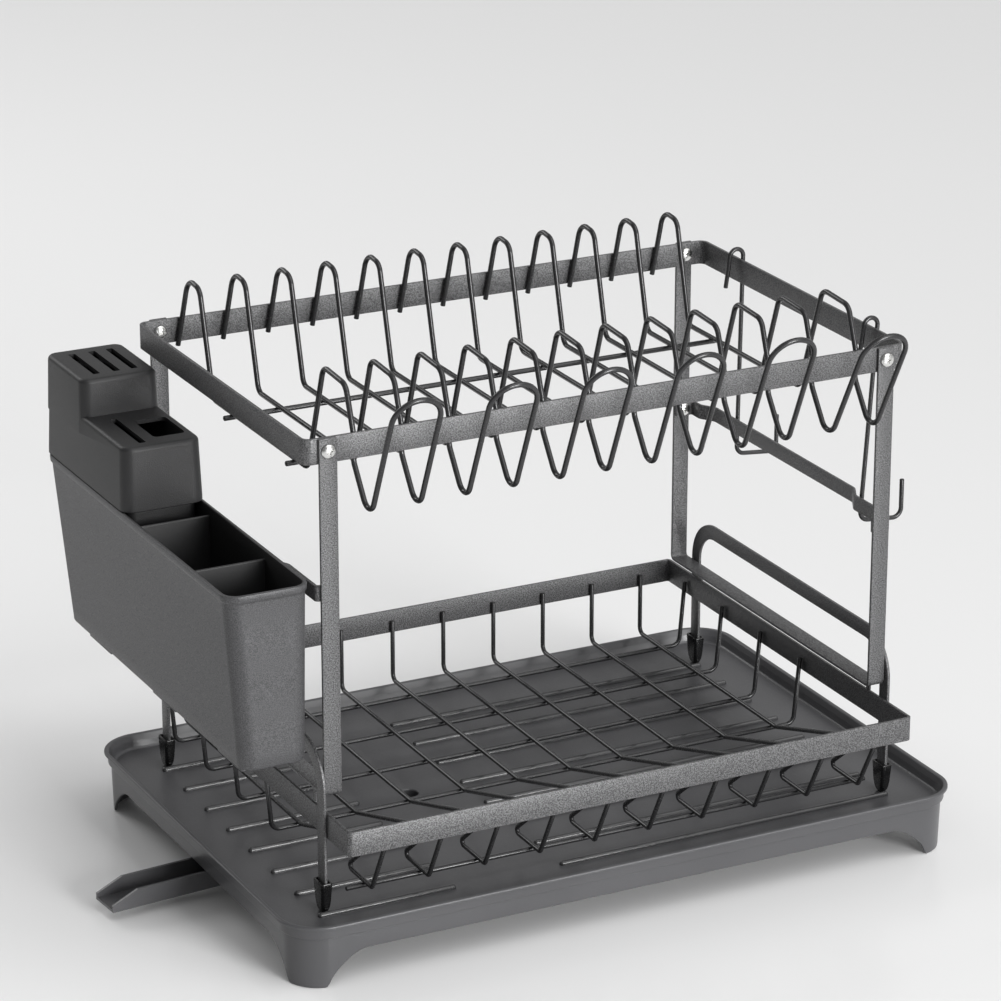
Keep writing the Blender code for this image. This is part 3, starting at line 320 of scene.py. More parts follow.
def strip(path, width, low, high, plane, closed=False, edge=0.00035):
    """Flat bar with rounded edges: a section of width by low to high, carried along a path in a plane.

    Point (i, j) is path point i plus the section's first measure along the mitre there, and its second
    measure across the plane, which is YZ or XY."""
    path = np.array([point[:2] for point in path], float)
    if closed:
        incoming, outgoing = path - np.roll(path, 1, 0), np.roll(path, -1, 0) - path
    else:
        steps = np.diff(path, axis=0)
        incoming, outgoing = np.vstack([steps[:1], steps]), np.vstack([steps, steps[-1:]])
    incoming /= np.linalg.norm(incoming, axis=1)[:, None]
    outgoing /= np.linalg.norm(outgoing, axis=1)[:, None]
    mitre = incoming + outgoing
    mitre /= np.linalg.norm(mitre, axis=1)[:, None]
    normal = np.stack([-mitre[:, 1], mitre[:, 0]], 1)
    square = np.stack([-incoming[:, 1], incoming[:, 0]], 1)
    normal /= np.sum(normal * square, axis=1)[:, None]
    section = rounded_rect(-width / 2, width / 2, low, high, edge, 0, 3)[:, :2]

    def rings(places, sides, shape):
        flat = places[:, None] + shape[:, :1] * sides[:, None]
        across = np.broadcast_to(shape[:, 1:], (*flat.shape[:2], 1))
        return np.concatenate([across, flat] if plane == "YZ" else [flat, across], axis=2)

    body = rings(path, normal, section)
    if closed:
        return skin(body, True)
    middle = np.array([0, (low + high) / 2])
    small = middle + (section - middle) * (1 - 2 * edge / np.array([width, high - low]))
    first, last = normal[:1], normal[-1:]
    rows = [
        rings(path[:1], first, small),
        rings(path[:1] + incoming[0] * edge, first, section),
        body[1:-1],
        rings(path[-1:] - outgoing[-1] * edge, last, section),
        rings(path[-1:], last, small),
    ]
    return skin(np.concatenate(rows))


def merged(parts):
    """Several (vertices, faces) as one."""
    points, faces, base = [], [], 0
    for some, more in parts:
        points.append(np.array(some, float))
        faces += [tuple(base + at for at in face) for face in more]
        base += len(some)
    return np.vstack(points), faces


def block(x0, x1, y0, y1, z0, z1, edge=0.0005):
    """A box with small rounded edges: rings shrink at both ends."""
    rings = [
        rounded_rect(*shrunk((x0, x1, y0, y1), edge), edge * 0.6, z0, 2),
        rounded_rect(x0, x1, y0, y1, edge, z0 + edge, 2),
        rounded_rect(x0, x1, y0, y1, edge, z1 - edge, 2),
        rounded_rect(*shrunk((x0, x1, y0, y1), edge), edge * 0.6, z1, 2),
    ]
    return skin(rings)


def turned(profile, sides=40):
    """A solid turned round +Z: point (i, a) is (radius i cos a, radius i sin a, height i)."""
    angles = np.linspace(0, 2 * math.pi, sides, endpoint=False)
    radii, heights = np.array(profile, float).T[:, :, None]
    x, y = radii * np.cos(angles), radii * np.sin(angles)
    return skin(np.stack([x, y, heights + 0 * angles], axis=-1))


def mesh_of(name, points, faces, sharp=38.0):
    """A mesh with outward normals, smooth except over edges sharper than this."""
    data = bpy.data.meshes.new(name)
    data.from_pydata(points.tolist(), [], faces)
    shell = bmesh.new()
    shell.from_mesh(data)
    bmesh.ops.recalc_face_normals(shell, faces=shell.faces)
    shell.to_mesh(data)
    shell.free()
    data.polygons.foreach_set("use_smooth", [True] * len(data.polygons))
    data.set_sharp_from_angle(angle=math.radians(sharp))
    return data


def piece(name, shape, look, body, slot, replaces=(), sharp=38.0):
    """Adds a piece of the rack, given in the tray's own coordinates, riding on a CAD body."""
    points, faces = shape
    data = mesh_of(name, np.array(points, float) + CENTRE, faces, sharp)
    data.materials.append(LOOKS[look])
    obj = bpy.data.objects.new(name, data)
    bpy.context.scene.collection.objects.link(obj)
    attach(obj, body)
    if replaces:
        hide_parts(*replaces)
    return obj


def rod_piece(name, path, radius, node, body="rack"):
    """A coated wire along a path."""
    piece(name, tube(path, radius), "wire", body, "wire_steel", [node])


def strip_piece(name, shape, node):
    """A coated flat strip of the rack."""
    piece(name, shape, "strip", "rack", "strip_steel", [node])


def cutter(name, shape):
    """A hidden solid in the tray's own coordinates for a Boolean."""
    points, faces = shape
    obj = bpy.data.objects.new(name, mesh_of(name, np.array(points, float) + CENTRE, faces))
    bpy.context.scene.collection.objects.link(obj)
    obj.hide_render = True
    obj.hide_viewport = True
    return obj


def boolean(obj, other, operation="DIFFERENCE"):
    """Cuts a hidden solid from a piece, or joins it, and keeps the result as the piece's mesh."""
    step = obj.modifiers.new("shape", "BOOLEAN")
    step.operation = operation
    step.solver = "EXACT"
    step.object = other
    bpy.context.view_layer.update()
    graph = bpy.context.evaluated_depsgraph_get()
    data = bpy.data.meshes.new_from_object(obj.evaluated_get(graph))
    obj.modifiers.clear()
    obj.data = data
    bpy.data.objects.remove(other)


def softened(obj, width, segments=2, angle=40):
    """Rounds the sharp edges of a piece."""
    step = obj.modifiers.new("round", "BEVEL")
    step.width = width
    step.segments = segments
    step.limit_method = "ANGLE"
    step.angle_limit = math.radians(angle)
    step.harden_normals = True


# ------------------------------------------------------------------------ tray


def tray_ring(inset, height):
    """The tray's outline moved in by inset, at a height.

    Each point is (outline - outward inset, height); both may depend on the distance from a corner's middle."""
    radius = TRAY["corner"]
    arc = radius * math.pi / 4
    leg = TRAY["leg_flat"] + TRAY["leg_flare"] - arc + 0.002
    runs = np.concatenate([np.linspace(0, leg, 22)[1:], [0.045]])
    mid_x, mid_y = TRAY["x"] / 2 - radius, TRAY["y"] / 2 - radius
    bend = np.linspace(-1, 1, 25)
    spots, outs, distances = [], [], []
    middles = ((mid_x, -mid_y), (mid_x, mid_y), (-mid_x, mid_y), (-mid_x, -mid_y))
    for quarter, (x, y) in enumerate(middles):
        angles = np.radians(90 * (quarter - 1) + 45 + 45 * bend)
        out = np.column_stack([np.cos(angles), np.sin(angles)])
        ahead = np.array([-out[-1, 1], out[-1, 0]])
        along = np.concatenate([runs, 2 * (mid_x if quarter % 2 else mid_y) - runs[::-1]])
        spots += [(x, y) + out * radius, (x, y) + out[-1] * radius + along[:, None] * ahead]
        outs += [out, np.tile(out[-1], (len(along), 1))]
        distances += [arc * abs(bend), arc + runs, arc + runs[::-1]]
    distance = np.concatenate(distances)
    deep = inset(distance) if callable(inset) else inset + 0 * distance
    level = height(distance) if callable(height) else height + 0 * distance
    return np.column_stack([np.vstack(spots) - np.vstack(outs) * deep[:, None], level])


def leg_edge(distance):
    """Height of the skirt's lower edge: skirt (1 - (1 - t)^1.8), t from 0 at the foot to 1 at the skirt.

    It is rounded off near the foot by a factor (t / 0.15)^0.7 up to 1."""
    share = np.clip((distance - TRAY["leg_flat"]) / TRAY["leg_flare"], 0.0, 1.0)
    rounding = np.minimum(share / 0.15, 1.0) ** 0.7
    return TRAY["skirt"] * (1 - (1 - share) ** 1.8) * rounding


def skirt_ring(inset, lift):
    """A ring near the skirt's lower edge, drawn in a little towards the foot of each leg."""
    drawn = lambda distance: inset + TRAY["leg_draw"] * (1 - leg_edge(distance) / TRAY["skirt"])
    return tray_ring(drawn, lambda distance: leg_edge(distance) + lift)


def make_tray():
    """The tray's shell, its raised bars, and the drain with its nozzle."""
    wall, band, step = TRAY["wall"], TRAY["band_in"], TRAY["step_in"]
    top, floor = TRAY["top"], TRAY["floor"]
    under, step_z = floor - wall, top - TRAY["band_h"]
    outer = filleted(
        [(step, step_z - 0.004), (step, step_z), (band + 0.0003, step_z), (band, top - 0.0022),
         (0.0, top - 0.0018), (0.0, top), (band + 0.0006, top), (band + wall + 0.0006, top - 0.0040),
         (step + wall, floor), (step + 0.012, floor)],
        [0.0006, 0.0008, 0.0009, 0.0003, 0.0010, 0.0012, 0.0040, 0.0026], 5,
    )
    rings = [tray_ring(step + 2.8 * wall, under), tray_ring(step + 1.4 * wall, under)]
    edge = ((0, 0.0012), (0.0001, 0.0004), (0.0005, 0.0))
    rings += [skirt_ring(step + 0.0024 - inset, lift) for inset, lift in edge]
    rings += [skirt_ring(step + 0.0004 + inset, lift) for inset, lift in edge[::-1]]
    rings += [tray_ring(inset, level) for inset, level in outer]
    tray = piece("tray_shell", skin(rings), "tray", "tray", "tray_plastic", ["drip_tray"], 50)
    hole = [(0.0060, 0.010), (0.0060, floor - 0.0005), (0.0066, floor + 0.0002), (0.0066, floor + 0.01)]
    points, faces = turned(hole)
    boolean(tray, cutter("drain_cut", (points + [*DRAIN, 0], faces)))
    tray.data.set_sharp_from_angle(angle=math.radians(30))
    # Wide flat faces set the shading where they meet narrow rounded ones.
    even = tray.modifiers.new("flat_first", "WEIGHTED_NORMAL")
    even.keep_sharp = True
    nozzle = [
        (0.0060, NOZZLE_Z), (0.0080, NOZZLE_Z), (0.0080, 0.0305), (0.0084, 0.0316), (0.0060, 0.0316),
    ]
    rings = turned(nozzle)[0].reshape(len(nozzle), -1, 3) + [*DRAIN, 0]
    piece("tray_nozzle", skin(rings, closed=True), "tray", "tray", "tray_plastic")
    for row, y in enumerate(RIB_YS, 1):
        for tag, (x0, x1) in zip(("left", "right"), RIB_SPANS):
            piece("rib_%s_%d" % (tag, row), dome_bar(x0, x1, y), "rib", "tray", "tray_plastic")


def dome_bar(x0, x1, y):
    """A half-round bar on the floor: ring a is inset by half (1 - cos a) and raised by height sin a."""
    half, floor = RIB_W / 2, TRAY["floor"]
    rings = [rounded_rect(x0, x1, y - half, y + half, half * 0.99, floor - 0.0006, 8)]
    for angle in np.radians(np.linspace(0, 84, 8)):
        inset = half * (1 - math.cos(angle)) * 0.98
        height = floor + 0.0004 + (RIB_H - 0.0004) * math.sin(angle)
        rect = shrunk((x0, x1, y - half, y + half), inset)
        rings.append(rounded_rect(*rect, (half - inset) * 0.99, height, 8))
    return skin(rings)


# --------------------------------------------------------------- strips and legs


def make_frames():
    """The hoops of the two racks, the posts, the crossbars and the leg arches."""
    x, y = LOWER["x"] / 2 - STRIP_T / 2, LOWER["y"] / 2 - STRIP_T / 2
    ring = rounded_rect(-x, x, -y, y, 0.0022, 0, 6)
    strip_piece("lower_hoop", strip(ring, STRIP_T, LOWER["low"], LOWER["top"], "XY", True), "lower_frame")
    x, half = UPPER["x"] / 2 - STRIP_T / 2, STRIP_T / 2
    ring = rounded_rect(-x, x, UPPER["front"] + half, UPPER["back"] - half, 0.005, 0, 8)
    strip_piece("upper_hoop", strip(ring, STRIP_T, UPPER["low"], UPPER["top"], "XY", True), "upper_frame")
    front, back = UPPER["front"] - GAP - half, UPPER["back"] + GAP + half
    for tag, (side, bar_z) in BARS.items():
        low, high = sorted((side * (POST_X - POST_W / 2), side * (POST_X + POST_W / 2)))
        top, foot = UPPER["top"], POST_FLOOR_Z + half
        corners = [(front, top), (front, foot), (back, foot), (back, top)]
        shape = [strip(filleted(corners, 0.003, 8), STRIP_T, low, high, "YZ")]
        inner, outer = sorted((side * (LOWER["x"] / 2 - STRIP_T), side * (LOWER["x"] / 2 - 0.0006)))
        pin_z = (LOWER["top"] + GAP, POST_FLOOR_Z + 0.001)
        for at in PIN_YS:
            shape.append(block(inner, outer, at - 0.002, at + 0.002, *pin_z, 0.0003))
        strip_piece("posts_" + tag, merged(shape), "post_frame_" + tag)
        make_crossbar(tag, side, bar_z, front + STRIP_T + GAP, back - STRIP_T - GAP)
        make_arch(tag, side)


def make_crossbar(tag, side, bar_z, tab_front, tab_back):
    """Joggled strip between two posts."""
    tab = POST_X - POST_W / 2 + 0.0005
    corners = [
        (tab, tab_front), (0.1985, tab_front), (0.1985, -0.080), (0.205, -0.068),
        (0.205, 0.112), (0.1985, 0.122), (0.1985, tab_back), (tab, tab_back),
    ]
    bends = [0.0018, 0.006, 0.006, 0.006, 0.006, 0.0018]
    path = filleted([(side * a, b) for a, b in corners], bends, 6)
    shape = strip(path, STRIP_T, bar_z, bar_z + BAR_H, "XY")
    strip_piece("crossbar_strip_" + tag, shape, "crossbar_" + tag)


def make_arch(tag, side):
    """Leg arch of flat bar, and its two rubber caps."""
    low, high = sorted((side * ARCH_X, side * (ARCH_X + STRIP_T)))
    base = TRAY["floor"] + GAP
    foot, top = base + 0.0028 + GAP, ARCH_TOP_Z - ARCH_W / 2
    corners = [(-FOOT_Y, foot), (-FOOT_Y, top), (FOOT_Y, top), (FOOT_Y, foot)]
    shape = strip(filleted(corners, 0.025, 20), ARCH_W, low, high, "YZ", edge=0.0005)
    strip_piece("arch_" + tag, shape, "leg_arch_" + tag)
    x = (low + high) / 2
    for end, y in (("front", -FOOT_Y), ("back", FOOT_Y)):
        place = "%s_%s" % (end, tag)
        cap = cap_shape(x, y, base)
        piece("cap_" + place, cap, "rubber", "rack", "foot_rubber", ["foot_" + place])


def cap_shape(x, y, base):
    """Rubber cap: round below, square-shouldered above, open at the top round the leg.

    Each row is a ring's width, depth, height, and corner radius as a share of its shorter side."""
    rows = [
        (0.0022, 0.0042, 0.0000, 0.48), (0.0038, 0.0066, 0.0003, 0.48),
        (0.0048, 0.0078, 0.0010, 0.45), (0.0056, 0.0094, 0.0024, 0.42),
        (0.0062, 0.0108, 0.0042, 0.38), (0.0066, 0.0120, 0.0080, 0.30),
        (0.0070, 0.0128, 0.0140, 0.24), (0.0074, 0.0134, 0.0194, 0.20),
        (0.0073, 0.0133, 0.0198, 0.20), (0.0070, 0.0130, 0.0200, 0.20),
        (0.0052, 0.0114, 0.0200, 0.20), (0.0049, 0.0111, 0.0196, 0.20),
        (0.0047, 0.0109, 0.0186, 0.20), (0.0030, 0.0108, 0.0120, 0.10),
        (0.0026, 0.0106, 0.0028, 0.05),
    ]
    rings = []
    for wide, deep, height, corner in rows:
        rect = (x - wide / 2, x + wide / 2, y - deep / 2, y + deep / 2)
        rings.append(rounded_rect(*rect, corner * min(wide, deep), base + height, 6))
    return skin(rings)


def screw_mesh():
    """A pan-head screw pointing down its own -Z, seat at height 0, with a cross recess."""
    head = [(0.0020, 0.0), (0.0046, 0.0), (0.00465, 0.0003)]
    for angle in np.radians(np.linspace(8, 88, 9)):
        head.append((0.0046 * math.cos(angle), 0.0003 + 0.0021 * math.sin(angle)))
    holder = bpy.data.objects.new("screw_form", mesh_of("screw_form", *turned(head, 48)))
    bpy.context.scene.collection.objects.link(holder)
    for wide, deep in ((0.0023, 0.00042), (0.00042, 0.0023)):
        low = rounded_rect(-wide * 0.6, wide * 0.6, -deep * 0.6, deep * 0.6, 0.00012, 0.0009, 2)
        high = rounded_rect(-wide, wide, -deep, deep, 0.00012, 0.0030, 2)
        tool = bpy.data.objects.new("recess", mesh_of("recess", *skin([low, high])))
        bpy.context.scene.collection.objects.link(tool)
        boolean(holder, tool)
    data = holder.data
    points = np.empty(3 * len(data.vertices))
    data.vertices.foreach_get("co", points)
    faces = [tuple(face.vertices) for face in data.polygons]
    bpy.data.objects.remove(holder)
    return points.reshape(-1, 3), faces


def make_screws():
    """Eight screws, each turned to face out from its seat, with a shank behind."""
    points, faces = screw_mesh()
    half = STRIP_T / 2
    front, back = UPPER["front"] - GAP - half, UPPER["back"] + GAP + half
    middle = (UPPER["top"] + UPPER["low"]) / 2
    for tag, (side, bar_z) in BARS.items():
        bar_mid = bar_z + BAR_H / 2
        seats = {
            "post_screw_front_": (front - half, middle, -1, 0.008, 0.3),
            "post_screw_back_": (UPPER["back"] - STRIP_T, middle, -1, 0.0065, 1.1),
            "bar_screw_front_": (front + half + GAP + STRIP_T, bar_mid, 1, 0.0042, 0.7),
            "bar_screw_back_": (back - half - GAP - STRIP_T, bar_mid, -1, 0.0042, 0.1),
        }
        for name, (seat, z, out, length, spin) in seats.items():
            profile = [(0.0016, -length), (0.0020, -length + 0.0004), (0.0020, 0.0001), (0.0019, 0.0002)]
            cos, sin = math.cos(spin), math.sin(spin)
            turn = np.array([[cos, -sin, 0], [sin, cos, 0], [0, 0, 1]])
            all_points, all_faces = merged([(points @ turn.T, faces), turned(profile, 24)])
            placed = np.column_stack([all_points[:, 0], out * all_points[:, 2], all_points[:, 1]])
            placed += [side * POST_X, seat + out * GAP, z]
            piece(name + tag + "_look", (placed, all_faces), "zinc", "rack", "screw_steel", [name + tag])


# ----------------------------------------------------------------------- wires


def divider_side(x):
    """Corners of one divider, from the back strip over its two hoops to the front valley, and its bends."""
    clear = GAP + WIRE_R
    back, front = UPPER["back"] - STRIP_T - clear, UPPER["front"] + STRIP_T + clear
    low = UPPER["low"]
    inner = [(x, y, z) for y, z in (*BACK_HOOP, *FLOOR_RUN, *FRONT_HOOP)]
    corners = [
        (x - BACK_LEAN, back, low - 0.002), *inner, (x, front, UPPER["top"] - 0.001),
        (x, front, low - 0.003), (x, VALLEY_Y, VALLEY_Z),
    ]
    radii = [0.0078, 0.0078, 0.0065, 0.0065, 0.0080, 0.0080, 0.010, 0.008, 0.008]
    return corners, radii


def loop_point(x, height):
    """Points on the loops' slanted plane: height runs from 0 at the valley to 1 at the crown."""
    height = np.asarray(height, float)
    y, z = VALLEY_Y - LOOP_OUT * height, VALLEY_Z + LOOP_UP * height
    return np.stack([x + 0 * height, y, z], axis=-1)


def make_dividers():
    """Six bent wires, each two dividers joined by a tall loop with a half-round crown."""
    slant = np.linalg.norm(loop_point(0, 1) - loop_point(0, 0))
    for number in range(1, 7):
        left, right = (2 * number - 7.5) * PITCH, (2 * number - 6.5) * PITCH
        lean, full = (LAST_LEAN, LAST_SHARE) if number == 6 else (0.0, 1.0)
        radius = (right - left) / 2
        start = full - radius / slant
        angles = np.linspace(0, math.pi, 25)
        heights = start + (full - start) * np.sin(angles)
        crown = loop_point((left + right) / 2 - radius * np.cos(angles) + lean * heights, heights)
        sides = []
        for x, end in ((left, crown[0]), (right, crown[-1])):
            corners, radii = divider_side(x)
            sides.append(filleted([*corners, end], radii, 10))
        path = np.vstack([sides[0], crown[1:-1], sides[1][::-1]])
        rod_piece("divider_wire_%d" % number, path, WIRE_R, "divider_%d" % number)
    end = 5.5 * PITCH + 0.005
    z = FLOOR_RUN[0][1] - 2 * WIRE_R - GAP
    for number, y in enumerate(UPPER_CROSS_YS, 1):
        path = [(x, y, z) for x in (-end, -end / 3, end / 3, end)]
        rod_piece("cross_rod_%d" % number, path, WIRE_R, "upper_cross_wire_%d" % number)


def make_lower_wires():
    """Floor wires with their ramps and hooks, the cross wires under them and the tie wire."""
    back = LOWER["y"] / 2 - STRIP_T - GAP - THIN_R
    floor, tip = LOWER["floor"], LOWER["top"] - BASKET_TIP_DROP
    for number in range(1, 11):
        x = (number - 5.5) * BASKET_PITCH
        folds = [(x, y, floor + lift) for y, lift in BASKET_FOLDS]
        corners = [(x, back, tip), (x, back, floor), *folds, (x, -back, LOWER["low"]), (x, -back, tip)]
        path = filleted(corners, BASKET_BENDS, 8)
        rod_piece("basket_wire_%02d" % number, path, THIN_R, "lower_wire_%02d" % number)
    z = floor - 2 * THIN_R - GAP
    end = LOWER["x"] / 2 - STRIP_T - GAP - THIN_R
    foot = end - CROSS_LEAN
    for number, y in enumerate(BASKET_CROSS_YS, 1):
        path = filleted([(-end, y, tip), (-foot, y, z), (foot, y, z), (end, y, tip)], CROSS_BEND, 12)
        rod_piece("basket_cross_%d" % number, path, THIN_R, "lower_cross_wire_%d" % number)
    path = [(x, TIE_Y, z) for x in (-TIE_X, -0.06, 0.06, TIE_X)]
    rod_piece("hook_tie", path, THIN_R, "hook_tie_wire")


def make_board_hooks():
    """The two long hooks for a cutting board; the short inner leg of each spreads a little."""
    strip_x, top = UPPER["x"] / 2 - STRIP_T / 2, UPPER["top"] + 0.0005
    angles = np.linspace(0, math.pi, 19)
    bend_x, bend_z = strip_x - BOARD_HOOK_R * np.cos(angles), top + BOARD_HOOK_R * np.sin(angles)
    for tag, y, leg_x, bottom in BOARD_HOOKS:
        tip = (strip_x - 0.008, y, top - 0.021)
        bend = np.column_stack([bend_x, np.full(len(angles), y), bend_z])
        far, low = leg_x + BOARD_REACH, bottom - BOARD_SAG
        corners = [bend[-1], (leg_x, y, bottom), (far, y, low), (far, y, low + BOARD_UPTURN)]
        path = np.vstack([tip, bend[:-1], filleted(corners, 0.006, 10)])
        node = "board_hook_" + tag
        rod_piece("board_wire_" + tag, path, THIN_R, node, node + "_body")


# -------------------------------------------------------- holder and knife insert


def holder_rect(z):
    """The holder's outer rectangle at height z."""
    share = (z - HOLDER_Z[0]) / (HOLDER_Z[1] - HOLDER_Z[0])
    return tuple(a + (b - a) * share for a, b in zip(HOLDER_BASE, HOLDER_RIM))


def holder_ring(z, inset):
    """A ring on the holder's tapered wall, moved in by inset, or out if it is negative."""
    return rounded_rect(*shrunk(holder_rect(z), inset), HOLDER_R - inset, z, 12)


def make_holder():
    """The bin: tapered shell with a rolled rim, an inside wall and partitions coloured near black as painted
    shade, pads and hooks.
    """
    low, top = HOLDER_Z
    outside = [(low, 0.0030), (low + 0.0003, 0.0016), (low + 0.0010, 0.0006), (low + 0.0022, 0.0)]
    outside += [(z, 0.0) for z in np.linspace(low + 0.01, top - 0.0062, 6)]
    outside += [(top - 0.0052, -0.0001), (top - 0.0046, -0.0006), (top - 0.0040, -0.0010)]
    outside += [(top - 0.0010, -0.0010), (top - 0.0003, -0.0008), (top, -0.0002), (top, 0.0009)]
    skins = ("utensil_bin", "holder_plastic")
    shape = open_skin([holder_ring(z, inset) for z, inset in outside])
    piece("holder_shell", shape, "holder", *skins, ["utensil_holder"])
    # The inside wall is a second skin in the near-black colour, painted shade inside the bin.
    inside = [(top, 0.0009), (top - 0.0003, 0.0015), (top - 0.0012, HOLDER_WALL)]
    inside += [(z, HOLDER_WALL) for z in np.linspace(top - 0.01, low + 0.006, 5)]
    inside += [(low + 0.0030, HOLDER_WALL + 0.0004), (low + 0.0020, HOLDER_WALL + 0.0020)]
    shaded_inside = open_skin([holder_ring(z, inset) for z, inset in inside])
    piece("holder_shaded_inside_shell", shaded_inside, "shaded_inside", *skins)
    heights = (
        (low + 0.001, 0.0008), (top - 0.0060, 0.0008), (top - 0.0052, 0.0006), (top - 0.0050, 0.0002),
    )
    # The partitions take the same near-black painted shade.
    for number, y in enumerate(PARTITION_YS, 1):
        rows = []
        for z, half in heights:
            x0, x1 = shrunk(holder_rect(z), HOLDER_WALL / 2)[:2]
            low_y, high_y = y - half, y + half
            rows.append([(x0, low_y, z), (x1, low_y, z), (x1, high_y, z), (x0, high_y, z)])
        piece("partition_%d" % number, skin(rows), "shaded_inside", *skins, sharp=50)
    pads = []
    x0, x1 = shrunk(HOLDER_BASE, 0.0030)[:2]
    for y in PAD_YS:
        pads.append(block(x0, x1, y - PAD_HALF, y + PAD_HALF, low - PAD_H, low + 0.0009, 0.0006))
    piece("holder_pads", merged(pads), "holder", *skins)
    make_holder_hooks()


def open_skin(rings):
    """A skin with a cap on its lowest ring only: the wall and floor of a bin."""
    points, faces = skin(rings, capped=False)
    count = len(rings[0])
    if rings[0][0][2] < rings[-1][0][2]:
        faces.append(tuple(range(count))[::-1])
    else:
        faces.append(tuple(range(len(points) - count, len(points))))
    return points, faces


def make_holder_hooks():
    """Two hooks that reach over the left crossbar."""
    bar_top = BARS["left"][1] + BAR_H
    inner = -(0.205 - STRIP_T / 2) + GAP
    wall = holder_rect(bar_top)[1] - 0.001
    down, over = inner + 0.0009, bar_top + 0.0014
    path = filleted([(wall, over), (down, over), (down, bar_top - HOLDER_HOOK_DEEP)], 0.0012, 5)
    hooks = []
    for y in HOLDER_HOOK_YS:
        sides = (y - HOLDER_HOOK_HALF, y + HOLDER_HOOK_HALF)
        points, faces = strip(path, HOLDER_WALL, *sides, "XY", edge=0.0003)
        hooks.append((points[:, [0, 2, 1]], faces))
    piece("holder_hooks", merged(hooks), "holder", "utensil_bin", "holder_plastic")


def make_knife_insert():
    """Two-step insert with softly rounded edges, a lip on the bin's rim, and slots in its tops."""
    x0, x1, back = HOLDER_RIM[0], HOLDER_RIM[1], HOLDER_RIM[3]
    front, step, step_z, top, skirt_z, wall, over = INSERT.values()
    base = HOLDER_Z[1] + GAP

    def tier(rect, z0, z1, taper, radius, crown):
        rings = [rounded_rect(*shrunk(rect, 0.0008), radius, z0, 8)]
        rings += [rounded_rect(*rect, radius, z0 + lift, 8) for lift in (0.0006, 0.0030)]
        rings.append(rounded_rect(*shrunk(rect, taper), radius, z1 - crown, 8))
        for angle in np.radians(np.linspace(15, 90, 6)):
            inset = taper + crown * (1 - math.cos(angle))
            level = z1 - crown * (1 - math.sin(angle))
            corner = max(radius - inset + taper, 0.002)
            rings.append(rounded_rect(*shrunk(rect, inset), corner, level, 8))
        return skin(rings)

    low = tier((x0 - over, x1 + over, front, back + over), base, step_z, 0.0012, 0.0080, 0.0030)
    body = piece("insert_body", low, "block", "knife_insert", "block_plastic", ["knife_block"], 30)
    high = tier((x0 + 0.0001, x1 - 0.0001, step, back), step_z - 0.012, top, 0.0008, 0.0070, 0.0030)
    boolean(body, cutter("tall", high), "UNION")
    low_rect = shrunk(holder_rect(skirt_z), HOLDER_WALL + 0.0008)
    skirt = (low_rect[0], low_rect[1], front + 0.006, low_rect[3])
    rings = [rounded_rect(*skirt, 0.006, z, 8) for z in (skirt_z, base + 0.004)]
    boolean(body, cutter("skirt", skin(rings)), "UNION")
    hollow = shrunk(skirt, wall)
    rings = [rounded_rect(*hollow, 0.0035, z, 6) for z in (skirt_z - 0.001, step_z - wall)]
    boolean(body, cutter("hollow", skin(rings)))
    attic = (hollow[0], hollow[1], step + 0.0036, hollow[3])
    rings = [rounded_rect(*attic, 0.0035, z, 6) for z in (step_z - 0.006, top - wall)]
    boolean(body, cutter("attic", skin(rings)))
    cuts = []
    for x in SLOT_XS:
        cuts.append(((x - SLOT_HALF, x + SLOT_HALF, *SLOT_YS), 0.0010, (SLOT_FLOOR, top + 0.002)))
    thin = (STEP_SLOT_X - SLOT_HALF, STEP_SLOT_X + SLOT_HALF, *STEP_SLOT_YS)
    cuts.append((thin, 0.0010, (STEP_FLOOR, step_z + 0.002)))
    cuts.append((SQUARE_HOLE, 0.0030, (STEP_FLOOR, step_z + 0.002)))
    for rect, radius, heights in cuts:
        rings = [rounded_rect(*rect, radius, z, 5) for z in heights]
        boolean(body, cutter("slot", skin(rings)))
    body.data.polygons.foreach_set("use_smooth", [True] * len(body.data.polygons))
    body.data.set_sharp_from_angle(angle=math.radians(32))
    softened(body, 0.0005)


def dress_spout():
    """The spout keeps its CAD shape, with rounded edges and the tray's finish."""
    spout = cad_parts["drain_spout"]
    spout.data.materials.clear()
    spout.data.materials.append(LOOKS["tray"])
    softened(spout, 0.0004)


# ----------------------------------------------------------------------- stage


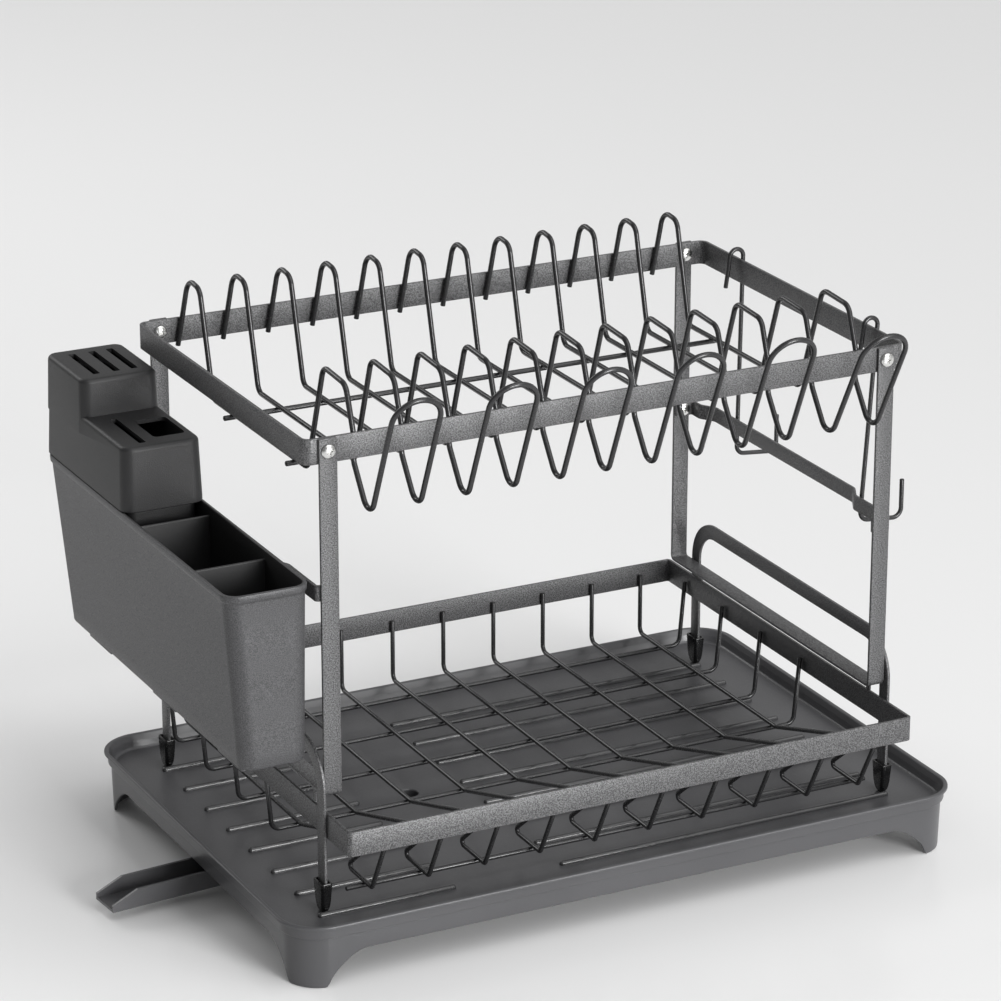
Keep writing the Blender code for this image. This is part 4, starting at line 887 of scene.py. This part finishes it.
def make_stage():
    """A pale glossy table, soft light, and the camera."""
    scene = bpy.context.scene
    scene.view_settings.view_transform = "Standard"
    # Lacquered board: white, with faint reflections.
    table, _, shader = finish("white_lacquer", Roughness=0.18)
    shader.inputs["Base Color"].default_value = linear("#f6f6f6")
    shader.inputs["Specular IOR Level"].default_value = 0.35
    data = bpy.data.meshes.new("table")
    corners = [(x, y, -0.0002) for x, y in ((-9, -9), (9, -9), (9, 14), (-9, 14))]
    data.from_pydata(corners, [], [(0, 1, 2, 3)])
    floor = bpy.data.objects.new("table", data)
    data.materials.append(table)
    scene.collection.objects.link(floor)
    make_world(scene)
    add_light("key", (1.0, -4.4, 1.1), 1.6, 190)
    add_light("rim", (-0.9, 2.2, 1.6), 1.2, 14)
    sky = bpy.data.lights.new("overhead", "SUN")
    sky.energy = 1.20
    sky.angle = math.radians(55)
    lamp = bpy.data.objects.new("overhead", sky)
    scene.collection.objects.link(lamp)
    lamp.rotation_mode = "QUATERNION"
    lamp.rotation_quaternion = Vector((-0.35, 0.60, -1.0)).to_track_quat("-Z", "Y")
    camera_data = bpy.data.cameras.new("camera")
    camera_data.lens = 150.5
    camera_data.sensor_width = 36.0
    camera_data.clip_end = 60.0
    camera = bpy.data.objects.new("camera", camera_data)
    scene.collection.objects.link(camera)
    scene.camera = camera
    yaw, pitch = math.radians(26.81), math.radians(20.01)
    camera.location = Vector(CENTRE) + Vector((-1.141, -2.227, 1.137))
    level = math.cos(pitch)
    ahead = Vector((math.sin(yaw) * level, math.cos(yaw) * level, -math.sin(pitch)))
    camera.rotation_mode = "QUATERNION"
    camera.rotation_quaternion = ahead.to_track_quat("-Z", "Y")


def make_world(scene):
    """White room light that rises from 0.22 on the bin's side to 0.56 on the board hooks' side."""
    world = bpy.data.worlds.new("studio")
    scene.world = world
    world.use_nodes = True
    tree = world.node_tree
    place = add(tree, "ShaderNodeTexCoord").outputs["Generated"]
    across = add(tree, "ShaderNodeSeparateXYZ", {"Vector": place}).outputs["X"]
    background = tree.nodes["Background"]
    background.inputs["Color"].default_value = (1.0, 1.0, 1.0, 1.0)
    tree.links.new(ramp(tree, across, -0.7, 0.7, 0.22, 0.56), background.inputs["Strength"])


def add_light(name, place, size, power):
    """A square soft light aimed at the middle of the rack."""
    data = bpy.data.lights.new(name, "AREA")
    data.shape = "SQUARE"
    data.size = size
    data.energy = power
    lamp = bpy.data.objects.new(name, data)
    bpy.context.scene.collection.objects.link(lamp)
    lamp.location = place
    lamp.rotation_mode = "QUATERNION"
    lamp.rotation_quaternion = (Vector((0, 0, 0.15)) - Vector(place)).to_track_quat("-Z", "Y")


LOOKS = make_materials()
make_tray()
make_frames()
make_screws()
make_dividers()
make_lower_wires()
make_board_hooks()
make_holder()
make_knife_insert()
dress_spout()
make_stage()
